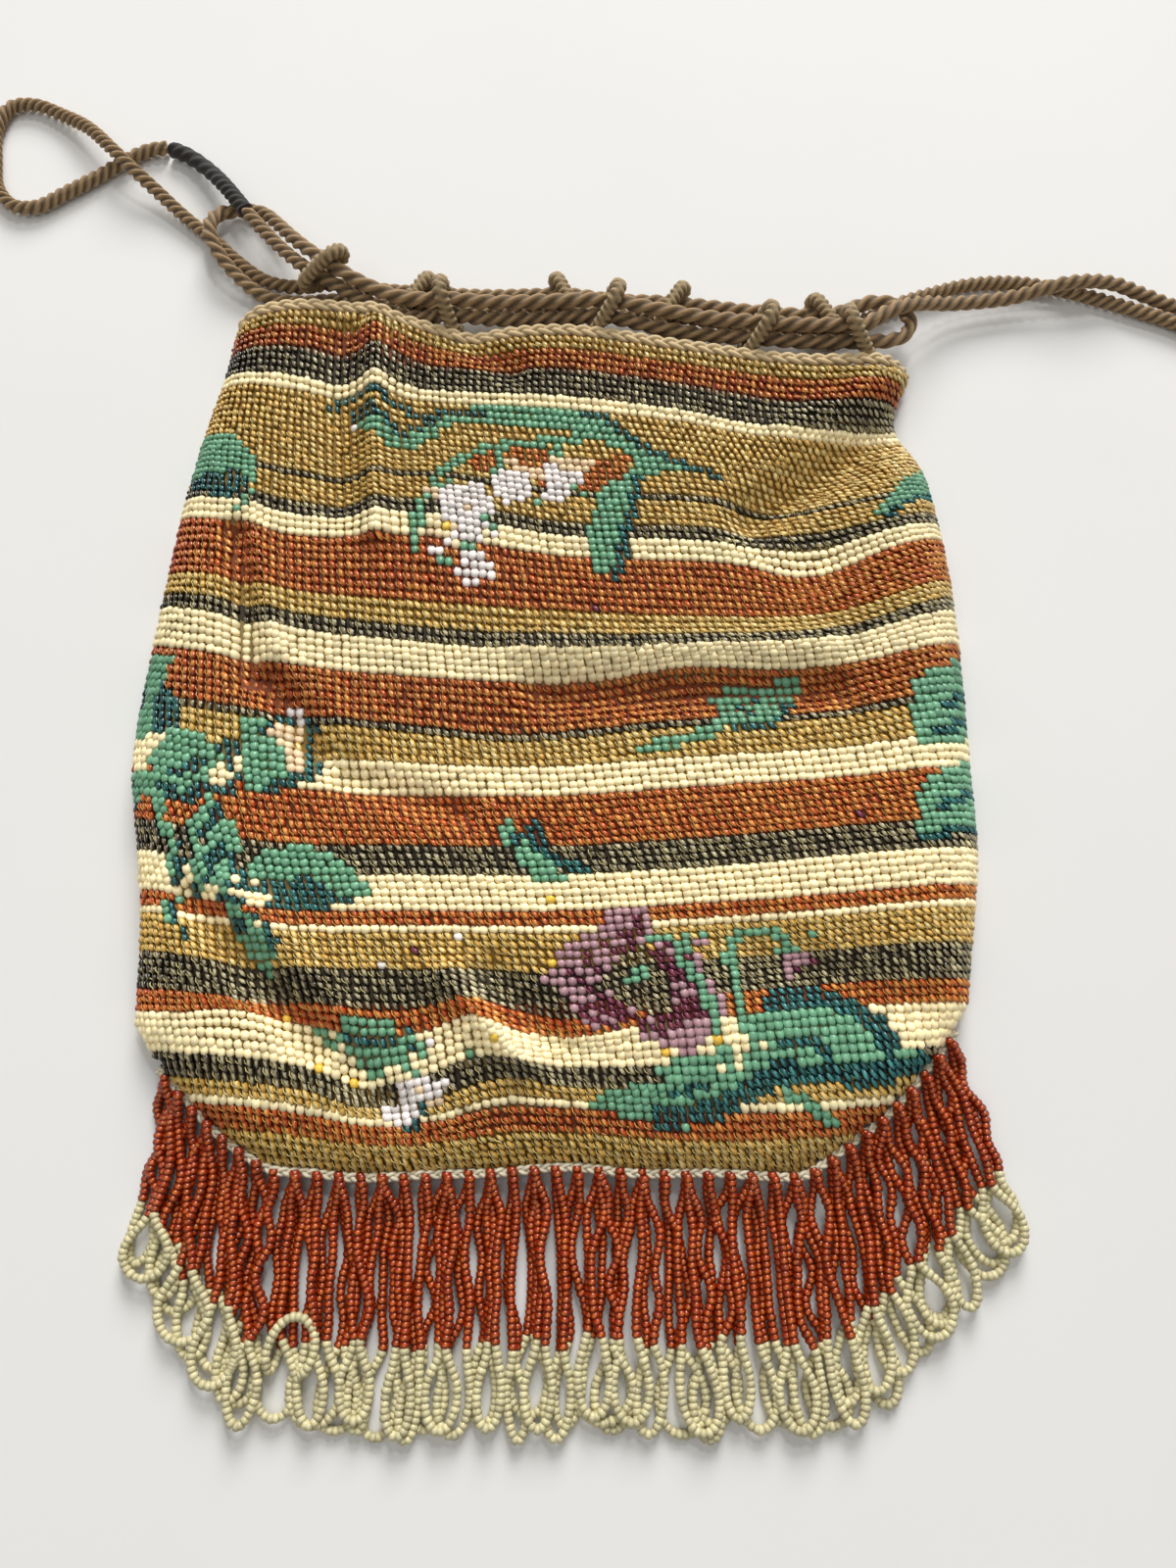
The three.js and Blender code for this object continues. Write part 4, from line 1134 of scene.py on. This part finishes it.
def barrel_bead(around):
    """Bead strung on a thread along its own third axis: three rings and two flat ends."""
    ring, j, k = bead_ring(around)
    rings = [ring * (r, r, 1) + (0, 0, z) for r, z in ((0.78, -0.82), (1.0, 0.0), (0.78, 0.82))]
    points = np.concatenate([*rings, [[0, 0, -0.78], [0, 0, 0.78]]])
    low, high = np.full(around, 3 * around), np.full(around, 3 * around + 1)
    ends = np.stack([k, j, low], 1), np.stack([j + 2 * around, k + 2 * around, high], 1)
    faces = np.concatenate([halves(ring_faces(3, around)), *ends])
    disc = 0.5 + 0.5 * ring[:, :2]
    cap = np.stack([disc[k], disc[j], np.full((around, 2), 0.5)], 1) * 0.2
    body = halves(strip_map(3, around) * (0.9, 0.7))
    return points, faces, np.concatenate([body, cap + (0.1, 0.75), cap[:, [1, 0, 2]] + (0.5, 0.75)])


def copies(shape, centres, axes):
    """Copies of a small shape: each point is the copy's centre plus its three axes times the point. The map
    gives each copy a cell of its own in a square of cells."""
    points, faces, uv = shape
    placed = centres[:, None] + np.einsum("pi,nij->npj", points, axes)
    count = len(centres)
    all_faces = faces[None] + (np.arange(count) * len(points))[:, None, None]
    cells = math.ceil(math.sqrt(max(count, 1)))
    corner = np.stack([np.arange(count) % cells, np.arange(count) // cells], 1)[:, None, None]
    return placed.reshape(-1, 3), all_faces.reshape(-1, 3), ((uv[None] + corner) / cells).reshape(-1, 3, 2)


def bead_piece(name, shape, centres, axes, material, slot, tint, shade, lens, crest):
    """Piece of many beads, with a tint and a shade for each and one painted glow spot and crest over the
    shape, which place the painted glow light and the painted rim shade.
    """
    points, faces, uv = copies(shape, centres, axes)
    each, count = len(shape[0]), len(centres)
    return make_piece(name, points, faces, material, slot, uv,
                      tint=np.repeat(tint, each), shade=np.repeat(shade, each),
                      lens=np.tile(lens, count), crest=np.tile(crest, count))


def inside_outline(outline, c, r):
    """Which chart squares lie in an outline or close to its line, by crossings of a ray to the right."""
    ends = np.asarray(outline, float)
    inside = np.zeros(c.shape, bool)
    for (ax, ay), (bx, by) in zip(ends, np.roll(ends, -1, 0)):
        crosses = (ay > r) != (by > r)
        with np.errstate(divide="ignore", invalid="ignore"):
            inside ^= crosses & (c < (bx - ax) * (r - ay) / (by - ay) + ax)
    return inside | (run_distance((*outline, outline[0]), c, r) < OUTLINE_REACH)


def run_distance(points, c, r):
    """Distance of chart squares from a line through chart points."""
    best = np.full(c.shape, np.inf)
    for start, end in zip(points, points[1:]):
        best = np.minimum(best, np.hypot(*off_segment(c, r, start, end)))
    return best


def chart_colours(c, r):
    """Colour of each bead: its row's stripe, then the sprigs laid over it in turn. A leaf fills its outline,
    specks are one square in so many of it, and a run takes squares within half its width and a little."""
    names = list(FINISHES)
    stripes = np.repeat([names.index(colour) for colour, _ in STRIPES], [rows for _, rows in STRIPES])
    found = stripes[r.astype(int)]
    for colour, kind, points, *width in SPRIGS:
        if kind == DOTS:
            marked = np.any([(np.abs(c - x) <= 0.5) & (np.abs(r - y) <= 0.5) for x, y in points], 0)
        elif kind == RUN:
            marked = run_distance(points, c, r) < width[0] * 0.5 + RUN_REACH
        else:
            marked = inside_outline(points, c, r)
            if kind == SPECKS:
                marked &= (2 * np.floor(c) + r) % width[0] == 0
        found[marked] = names.index(colour)
    return np.array(names)[found]


def pulled_rows(c, r):
    """Rows shifted where folds pull the knit: a bell of each pull's size round its middle."""
    shift = np.zeros_like(r)
    for column, row, wide, tall, pull in PULLS:
        shift += pull * np.exp(-(((c - column) / wide) ** 2) - ((r - row) / tall) ** 2)
    return np.clip(r + shift, 0.1, KNIT_ROWS - 0.1)


def bead_sites(columns, front):
    """Places of the beads on one sheet of the pouch. Columns are even along the run of the middle row and go
    down with a drift to the right, cut off by the corners. Returns chart squares, rows, centres on the outer
    surface, unit axes to the right, up the column and outwards seen from outside, and the spacing of the
    beads across and down against the usual."""
    s = np.linspace(0, 1, RUN_POINTS)
    run = run_along(pouch(s, np.full_like(s, KNIT_ROWS * MIDDLE_ROW), front))
    first = -math.ceil(COLUMN_DRIFT * KNIT_ROWS)
    column, row = (v.ravel() for v in np.meshgrid(np.arange(first, columns), np.arange(KNIT_ROWS)))
    at = column + 0.5 + COLUMN_DRIFT * row
    at, row = at[(at > 0) & (at < columns)], row[(at > 0) & (at < columns)]
    across, left, right = (np.interp((at + k) / columns, run / run[-1], s) for k in (0, -0.5, 0.5))
    spread = CHART_COLUMNS / bpy.context.scene.purse_knit.front_columns
    chart = at * spread - 0.5
    if not front:
        chart = np.where(at < columns / 2, -1 - chart, CHART_COLUMNS + (columns - at) * spread - 0.5)
    place = 0.5 + row * ROW_STRETCH
    if front:
        place = pulled_rows(chart, place)
    _, width, start, end = row_ends(place)
    share, half = (across - start) / (end - start), (right - left) / (end - start) / 2
    margin = SIDE_MARGIN / ((end - start) * width)
    kept = (share > margin) & (share < 1 - margin)
    chart, row, place, share, half = (v[kept] for v in (chart, row, place, share, half))
    low, high = np.clip(share - half, 0, 1), np.clip(share + half, 0, 1)
    over = pouch(high, place, front) - pouch(low, place, front)
    above, below = np.clip(place - 0.5, 0, None), np.clip(place + 0.5, None, KNIT_ROWS)
    up = pouch(share, above, front) - pouch(share, below, front)
    size = np.stack([np.linalg.norm(v, axis=1) / usual for v, usual in zip((over, up), USUAL_SPACING)], 1)
    right = unit(over) if front else -unit(over)
    up = unit(up - right * np.sum(up * right, 1, keepdims=True))
    return chart, row, pouch(share, place, front), right, up, np.cross(right, up), np.clip(size, 0.8, 1.2)


def slanted_axes(right, up, out, slant, long, short, rise, size, tilt, rng):
    """Axes of slanted beads: long side to the right and down by the slant, both sides stretched with the
    spacing, and each bead tipped like a scale with its lower right edge raised."""
    count = len(right)
    tip = SCALE_TIP + rng.normal(0, tilt, (count, 2))
    lean = (slant + rng.normal(0, SLANT_SPREAD, count))[:, None]
    scale = rng.normal(1, SIZE_SPREAD, (count, 1))
    wide, tall = right * size[:, :1] * scale, up * size[:, 1:] * scale
    first = (wide * np.cos(lean) - tall * np.sin(lean)) * long
    second = (wide * np.sin(lean) + tall * np.cos(lean)) * short
    tipped = tip[:, :1] * right + tip[:, 1:] * up
    first, second = (v - out * np.sum(v * tipped, 1, keepdims=True) for v in (first, second))
    return np.stack([first, second, unit(out + tipped) * rise * scale], 1)


# Operators


def aimed(eye, target, up):
    """Placing matrix of a lamp or camera at eye that looks at target."""
    back = (eye - target).normalized()
    right = up.cross(back).normalized()
    turned = Matrix((right, back.cross(right), back)).transposed().to_4x4()
    return Matrix.Translation(eye) @ turned


class PURSE_OT_stage(bpy.types.Operator):
    """Lay the table, set soft light from beyond the mouth and stand the camera above the purse"""

    bl_idname = "purse.stage"
    bl_label = "Stage"

    def execute(self, context):
        scene = context.scene
        self.lay_table(scene)
        world = bpy.data.worlds.new("soft_room")
        world.use_nodes = True
        feed(world.node_tree, world.node_tree.nodes["Background"].inputs, ROOM_LIGHT)
        scene.world = world
        for name, where, size, power in LAMPS:
            light = bpy.data.lights.new(name, "AREA")
            light.energy = power
            light.size = size
            lamp = bpy.data.objects.new(name, light)
            lamp.matrix_world = aimed(Vector(where), Vector((0, 0, 0)), Vector((0, 1, 0.01)))
            scene.collection.objects.link(lamp)
        view = bpy.data.cameras.new("photo_view")
        view.lens = VIEW_LENS
        view.sensor_width = VIEW_SENSOR
        view.clip_start = 0.01
        camera = bpy.data.objects.new("photo_view", view)
        eye, tilt = Vector(EYE), math.radians(VIEW_TILT)
        ahead = Vector((0, math.sin(tilt), -math.cos(tilt)))
        camera.matrix_world = aimed(eye, eye + ahead, Vector((0, 1, 0)))
        scene.collection.objects.link(camera)
        scene.camera = camera
        scene.view_settings.view_transform = "Standard"
        return {"FINISHED"}

    def lay_table(self, scene):
        """White table top, a little cloudy."""
        mesh = bpy.data.meshes.new("table")
        corners = [(x * TABLE_REACH, y * TABLE_REACH, 0) for x, y in ((-1, -1), (1, -1), (1, 1), (-1, 1))]
        mesh.from_pydata(corners, [], [(0, 1, 2, 3)])
        table = bpy.data.objects.new("table", mesh)
        scene.collection.objects.link(table)
        material, tree, shader = principled("table_top")
        light = scene.purse_colours.floor
        cloudy = blend_colours(tree, noise(tree, 9.0, 4.0), (*light, 1), (*(0.94 * c for c in light), 1))
        feed(tree, shader.inputs, {"Base Color": cloudy, "Roughness": 0.75, "Specular IOR Level": 0.2})
        mesh.materials.append(material)


class PURSE_OT_drawstrings(bpy.types.Operator):
    """Twist the two drawstrings and wind the binding over the left one's join"""

    bl_idname = "purse.drawstrings"
    bl_label = "Drawstrings"

    def execute(self, context):
        sizes, colours = context.scene.purse_cord, context.scene.purse_colours
        thick, lay = sizes.diameter / MM, sizes.lay / MM
        cord = thread_material("twisted_cord", colours.cord, dark=0.26, fibre=2.2, bump=0.35)
        bound = thread_material("binding_thread", colours.binding, dark=0.3, fibre=2.5)
        whipping, _, _ = twisted_cord("whipping", WHIPPING, sizes.binding / MM, lay, bound, "binding_thread",
                                      False, sizes.wrap / MM)
        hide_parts("cord_whipping")
        left, path, length = twisted_cord("left_drawstring", LEFT_CORD, thick, lay, cord, "twisted_cord",
                                          False)
        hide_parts("drawstring_left")
        right, path, length = twisted_cord("right_drawstring", RIGHT_CORD, thick, lay, cord, "twisted_cord",
                                           True)
        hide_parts("drawstring_right")
        return {"FINISHED"}


class PURSE_OT_ground(bpy.types.Operator):
    """Lay the thread fabric that carries the beads, as a hollow wall with its mouth open"""

    bl_idname = "purse.ground"
    bl_label = "Knitted ground"

    def execute(self, context):
        knit = context.scene.purse_knit
        around, outer, inner = GROUND_GRID
        front, share = round_mouth(around)
        share = share - GROUND_CROWD * np.sin(2 * np.pi * share)
        row = KNIT_ROWS * np.concatenate([np.linspace(1, 0, outer), np.linspace(0, 1, inner)])
        depth = np.repeat([GROUND_DEPTH, WALL], [outer, inner])
        sheets = [pouch(share, row[:, None], side, depth[:, None]) for side in (True, False)]
        points = np.where(front[None, :, None], *sheets).reshape(-1, 3)
        to_right, to_left = share * knit.front_columns, (1 - share) * knit.back_columns
        columns = np.where(front, to_right, knit.front_columns + to_left)
        rows = np.repeat(row, around)
        thread = np.stack([np.tile(columns, len(row)), rows * 0.5, 0 * rows], -1)
        material = ground_material(context.scene.purse_colours.ground)
        piece = make_piece("knitted_ground", points, ring_faces(len(row), around), material, "knit_beads",
                           strip_map(len(row), around), weld=True, thread=thread, row=rows / KNIT_ROWS,
                           crest=np.full(rows.size, 0.6),
                           outer=np.repeat(np.where(depth < WALL, GROUND_PAINTED_SHADE, 0.0), around))
        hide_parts("purse_body")
        return {"FINISHED"}


class PURSE_OT_beads(bpy.types.Operator):
    """Set the beads by the chart, a piece for each colour on front and back, with thread beside them"""

    bl_idname = "purse.beads"
    bl_label = "Knitted beads"

    def execute(self, context):
        knit = context.scene.purse_knit
        rng = np.random.default_rng(KNIT_SEED)
        stitch = thread_material("stitch_thread", context.scene.purse_colours.stitch, dark=0.7, dyed=True)
        rise = knit.height / MM
        pieces, materials = [], {}
        for side, columns, around in (
            ("front", knit.front_columns, FRONT_BEAD_SIDES),
            ("back", knit.back_columns, BACK_BEAD_SIDES),
        ):
            chart, row, centre, right, up, out, size = bead_sites(columns, side == "front")
            colour = chart_colours(chart, row.astype(float))
            shape = crown_bead(around)
            clear = np.array([FINISHES[c][3] > SEE_THROUGH for c in colour])
            long = np.where(clear, knit.clear_long, knit.solid_long)[:, None] / MM / 2
            short = np.where(clear, knit.clear_short, knit.solid_short)[:, None] / MM / 2
            axes = slanted_axes(right, up, out, knit.slant, long, short, rise, size, knit.unevenness, rng)
            shift = rng.normal(0, JITTER, (3, len(centre), 1))
            centre = centre + right * shift[0] + up * shift[1] + out * (0.6 * shift[2] - rise)
            tint = rng.random(len(centre))
            # shade: random tone of each bead plus the painted light and shade of its row
            shade = rng.random(len(centre)) + smooth_through(*ROW_PAINTED_LIGHT_AND_SHADE, row)
            _, below, over = shape[0].T
            # painted light: the painted glow spot is high on the crown and towards the bead's lower side
            lens = np.clip(1.1 * over - 0.3 - 0.5 * below, 0, 1)
            # painted shade: crest is low at the rim, where the rim shade colour is painted
            crest = np.clip(over, 0, 1) ** 1.5
            for finish in sorted(set(colour)):
                here = colour == finish
                if finish not in materials:
                    materials[finish] = bead_material(finish)
                piece = bead_piece(f"beads_{finish}_{side}", shape, centre[here], axes[here],
                                   materials[finish], "knit_beads", tint[here], shade[here], lens, crest)
                pieces.append(piece)
            if side == "front":
                shown = clear & (rng.random(len(row)) < self.looseness(chart, row, colour))
                frames = (v[shown] for v in (centre, right, up, out, size))
                # painted light: each thread beside a clear bead is tinted with the painted glow colour of the
                # bead and a little of its body colour
                body, painted_glow_colour = (np.array([linear(FINISHES[c][k]) for c in colour[shown]]) for k in (1, 2))
                pieces.append(self.stitches(knit, stitch, *frames, 0.3 * body + 0.8 * painted_glow_colour, rng))
        return {"FINISHED"}

    def looseness(self, chart, row, colour):
        """Share of clear beads with a thread beside them: more below the upper rows, most at the lower left,
        and half as many in the sparse colours."""
        loose = 0.4 + 0.6 * soft_step(row, 24, 36) * (0.8 + 0.2 * np.sin(0.11 * chart))
        loose = loose + 0.2 * np.exp(-(((chart - 15) / 9) ** 2)) * soft_step(row, 70, 85)
        return loose * np.where(np.isin(colour, THREAD_SPARSE), 0.5, 1)

    def stitches(self, knit, material, centre, right, up, out, size, dye, rng):
        """Threads beside the clear beads: three-sided strands of four rings, bent as an S and bowed outwards,
        below and left of each bead, leaning with it and tinted by its painted glow colour as painted light."""
        count = len(centre)
        lean = knit.slant + 0.12 + rng.normal(0, 0.14, count)
        along = right * np.cos(lean)[:, None] - up * np.sin(lean)[:, None]
        beside = -right * np.sin(lean)[:, None] - up * np.cos(lean)[:, None]
        raised = STITCH_RAISED + rng.normal(0, 0.1, count)
        middle = centre + beside * (STITCH_BESIDE * size[:, :1]) + out * raised[:, None]
        angle = even_angles(3) + np.pi / 2
        reach = np.linspace(-STITCH_REACH, STITCH_REACH, 4)
        bend, bow = 0.2 * np.sin(2.6 * reach), -0.3 * reach**2
        radius = knit.thread / MM / 2 * (1 - 0.25 * reach**2)
        points = np.concatenate([np.stack([np.full(3, x), r * np.cos(angle) + y, r * np.sin(angle) + z], 1)
                                 for x, y, z, r in zip(reach, bend, bow, radius)])
        faces = np.concatenate([halves(ring_faces(4, 3)), [[2, 1, 0]], [[9, 10, 11]]])
        ends = np.array([[[0.1, 0.75], [0.3, 0.75], [0.2, 0.9]], [[0.5, 0.75], [0.7, 0.75], [0.6, 0.9]]])
        uv = np.concatenate([halves(strip_map(4, 3) * (0.9, 0.7)), ends])
        axes = np.stack([along, np.cross(out, along), out], 1)
        placed, all_faces, all_uv = copies((points, faces, uv), middle, axes)
        places = np.tile(points, (count, 1)) + np.repeat(rng.random((count, 3)) * 50, len(points), 0)
        crest = np.repeat(0.55 + 0.45 * rng.random(count), len(points))
        return make_piece("stitch_threads", placed, all_faces, material, "knit_beads", all_uv,
                          thread=places, crest=crest, dye=np.repeat(dye, len(points), 0))


class PURSE_OT_mouth(bpy.types.Operator):
    """Plait the braid round the mouth and crochet the cord loops"""

    bl_idname = "purse.mouth"
    bl_label = "Mouth braid and loops"

    def execute(self, context):
        trim, colours = context.scene.purse_trim, context.scene.purse_colours
        path, length = smooth_route(braid_route(), BRAID_STEP, True)
        plait = trim.plait / MM
        points, faces, uv, thread, crest = plaited(path, length, True, BRAID_PLAIT, plait, BRAID_SIDES)
        chain = thread_material("braid_thread", colours.braid, dark=0.4, fibre=2.4, bump=0.4)
        braid = make_piece("mouth_plait", points, faces, chain, "crochet_thread", uv, thread=thread,
                           crest=crest)
        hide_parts("mouth_braid")
        self.crochet_loops(trim.stitch / MM, colours.crochet)
        return {"FINISHED"}

    def crochet_loops(self, stitch, colour):
        """Loops round the cords: tubes whose radius swells as a sine of the run plus twice the angle, and
        less as a sine of the run less the angle, once for each stitch."""
        material = thread_material("crochet_thread", colour, dark=0.3, fibre=2.4, bump=0.4)
        path, run = smooth_route(loop_route(), LOOP_STEP, True)
        angle = even_angles(LOOP_SIDES)
        share = np.arange(len(path))[:, None] / len(path)
        phase = 2 * np.pi * round(run / stitch) * share
        wave, cross = np.sin(phase + 2 * angle[None]), np.sin(phase - angle[None])
        radius = LOOP_TUBE * (1.16 + 0.15 * wave + 0.08 * cross)
        tube = carry(path, radius[..., None] * circle(angle)[None], True).reshape(-1, 3)
        thread = fibre_places(angle[None] + 6 * share, run * share, LOOP_TUBE, 0.6).reshape(-1, 3)
        # crest: painted light on each stitch's bulge, painted shade between the stitches
        crest = np.clip(0.45 + 0.35 * wave + 0.2 * cross, 0, 1).reshape(-1)
        faces = ring_faces(len(path), LOOP_SIDES, True)
        uv = strip_map(len(path), LOOP_SIDES, True, LOOP_BANDS)
        for name, middle, *turns in LOOPS:
            points = tube @ loop_axes(*turns) + np.array(middle)
            loop = make_piece(f"crochet_{name}", points, faces, material, "crochet_thread", uv,
                              thread=thread, crest=crest)
            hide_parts(name)


class PURSE_OT_edging(bpy.types.Operator):
    """Plait the pale thread along the bottom edge"""

    bl_idname = "purse.edging"
    bl_label = "Bottom edging"

    def execute(self, context):
        stitch = context.scene.purse_trim.edging_plait / MM
        material = thread_material("edging_thread", context.scene.purse_colours.edging, dark=0.5, fibre=2.4)
        share = np.linspace(0, 1, EDGING_POINTS)
        edge = beside_edge(share, EDGING_OUT + EDGING_WAVER * np.sin(share * 330))
        sunk = 0.9 * soft_step(share, 0.74, 0.84), 0.6 * soft_step(-share, -0.2, -0.1)
        edge[:, 2] += EDGING_LIFT - sunk[0] - sunk[1] + EDGING_WAVER * np.sin(share * 210)
        path, length = smooth_route(edge, EDGING_STEP)
        points, faces, uv, thread, crest = plaited(path, length, False, EDGING_PLAIT, stitch, EDGING_SIDES)
        piece = make_piece("bottom_plait", points, faces, material, "edging_thread", uv, weld=True,
                           thread=thread, crest=crest)
        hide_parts("bottom_edging")
        return {"FINISHED"}


class PURSE_OT_fringe(bpy.types.Operator):
    """String the fringe: rust strands down and up with a pale loop between them"""

    bl_idname = "purse.fringe"
    bl_label = "Fringe"

    def execute(self, context):
        sizes = context.scene.purse_fringe
        rng = np.random.default_rng(FRINGE_SEED)
        pitch, radius = sizes.pitch / MM, sizes.bead / MM / 2
        strung = []
        for number in range(sizes.strings):
            path, part = self.string(number, (number + 0.5) / sizes.strings, sizes.sway / MM, radius, rng)
            run = run_along(path)
            at = np.arange(pitch / 2, run[-1], pitch)
            points = points_along(path, run, at)
            strung.append((points, tangents(points), np.interp(at, run, part) > STRAND_SHARE))
        places, ways, pale = (np.concatenate(parts) for parts in zip(*strung))
        count = len(places)
        side = unit(np.cross(ways, rng.normal(0, 0.15, (count, 3)) + UP))
        scale = radius * (rng.normal(1, 0.05, count) * np.where(pale, PALE_SIZE, 1))[:, None]
        axes = np.stack([side * scale, np.cross(ways, side) * scale, ways * pitch * 0.62], 1)
        shape = barrel_bead(FRINGE_BEAD_SIDES)
        tint, shade = 0.35 + 0.5 * rng.random(count), rng.random(count)
        across, under, along = shape[0].T
        # painted light: the painted glow spot on the top of each fringe bead, fading towards its ends
        lens = np.clip(-under, 0, 1) ** 2 * (1 - 0.45 * np.abs(along))
        # painted shade: crest is low at the ends and sides, where the beads meet
        crest = np.clip(1 - 0.4 * np.abs(along) - 0.45 * np.abs(across), 0, 1)
        for name, finish, slot, node, here in (
            ("fringe_rust_strands", "fringe_rust", "rust_beads", "fringe_strands", ~pale),
            ("fringe_pale_loops", "fringe_pale", "pale_beads", "fringe_loops", pale),
        ):
            piece = bead_piece(name, shape, places[here], axes[here], bead_material(finish), slot,
                               tint[here], shade[here], lens, crest)
            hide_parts(node)
        return {"FINISHED"}

    def string(self, number, share, sway, radius, rng):
        """Path of one string: down from the edge on one side of its middle line, round the tip of its loop
        and up the other side. The middle line leans as the fringe does there. Each side drifts off alone, at
        times across the other, and wanders as two sines; in the loop the sides part again. Strings hang
        from a smaller number of places on the edge and fan out from them, lie in three layers, and one loop
        is folded back over the strands. Also gives each point's share of the way down."""
        stations = np.linspace(0, 1, len(FRINGE_LENGTH))
        at = np.array([share])
        length = float(smooth_through(stations, FRINGE_LENGTH, at)[0]) - 0.4 + rng.normal(0, LENGTH_SPREAD)
        lean = math.radians(float(smooth_through(stations, FRINGE_LEAN, at)[0]) + rng.normal(0, LEAN_SPREAD))
        hung = (math.floor(share * FRINGE_TOPS) + 0.5) / FRINGE_TOPS
        top, below = beside_edge(np.array([hung, share]), -STRING_INSET)
        t = np.linspace(0, 1, STRING_POINTS)
        free, drift = soft_step(t, 0.02, 0.2), soft_step(t, 0.06, 0.66)
        start = top + (below - top) * free[:, None]
        own = rng.normal(0, LEG_DRIFT, 2)
        middle = sway * rng.normal() * np.sin(2.4 * t + 0.6 * rng.normal()) * free
        middle = middle + own.mean() * drift + LOOP_DRIFT * rng.normal() * soft_step(t, 0.6, 1)
        apart = 0.2 + (0.5 + 0.25 * rng.random()) * free + (own[1] - own[0]) / 2 * drift
        loop_gap = (1.2 + 2.5 * rng.random()) * soft_step(t, 0.66, 0.86)
        tip = np.sqrt(1 - np.clip((t - LOOP_TIP) / (1 - LOOP_TIP), 0, 1) ** 2)
        gap = (apart + math.copysign(1, apart[-1]) * loop_gap) * tip
        over = soft_step(t, FOLD_BACK - 0.06, FOLD_BACK + 0.06) if number == FOLDED_STRING else 0 * t
        down = length * np.where(over > 0.5, 2 * FOLD_BACK - t, t)
        layer = FRINGE_LAYER * (number * 2 % 3) * soft_step(t, 0.06, 0.3) + FOLD_LIFT * over
        rise = (EDGE_Z + STRING_LIFT - radius) * (1 - soft_step(t, 0, 0.22))
        legs = []
        for side in (-1, 1):
            wave = 0 * t
            for size, turns in LEG_WAVES:
                wave = wave + rng.normal(0, size) * np.sin(turns * t + 6 * rng.random())
            across = middle + side * gap + wave * free * (1 - 0.8 * soft_step(t, 0.64, 0.82))
            z = radius + layer + rise + LEG_LIFT * (1 + side) * (1 - soft_step(t, 0.7, 0.95))
            x = start[:, 0] + down * math.sin(lean) + across * math.cos(lean)
            y = start[:, 1] - down * math.cos(lean) + across * math.sin(lean)
            legs.append(np.stack([x, y, z], 1))
        later = t > 0.02
        path = np.concatenate([legs[0], legs[1][later][::-1]])
        return path, np.concatenate([t, t[later][::-1]])


class VIEW3D_PT_purse(bpy.types.Panel):
    """Lists the purse's steps and settings"""

    bl_label = "Beaded purse"
    bl_space_type = "VIEW_3D"
    bl_region_type = "UI"
    bl_category = "Purse"

    def draw(self, context):
        for step in STEPS:
            self.layout.operator(step.bl_idname)
        for name in SETTINGS:
            group = getattr(context.scene, name)
            box = self.layout.box()
            for key in group.__annotations__:
                box.prop(group, key)


STEPS = (
    PURSE_OT_stage, PURSE_OT_drawstrings, PURSE_OT_ground, PURSE_OT_beads, PURSE_OT_mouth, PURSE_OT_edging,
    PURSE_OT_fringe,
)
SETTINGS = {
    "purse_knit": KnitSettings,
    "purse_cord": CordSettings,
    "purse_trim": TrimSettings,
    "purse_fringe": FringeSettings,
    "purse_colours": PurseColours,
}


def register():
    for cls in (*SETTINGS.values(), *STEPS, VIEW3D_PT_purse):
        bpy.utils.register_class(cls)
    for name, cls in SETTINGS.items():
        setattr(bpy.types.Scene, name, PointerProperty(type=cls))


def unregister():
    for name in SETTINGS:
        delattr(bpy.types.Scene, name)
    for cls in reversed((*SETTINGS.values(), *STEPS, VIEW3D_PT_purse)):
        bpy.utils.unregister_class(cls)


def main():
    register()
    bpy.ops.purse.stage()
    bpy.ops.purse.drawstrings()
    bpy.ops.purse.ground()
    bpy.ops.purse.beads()
    bpy.ops.purse.mouth()
    bpy.ops.purse.edging()
    bpy.ops.purse.fringe()


if __name__ == "__main__":
    main()
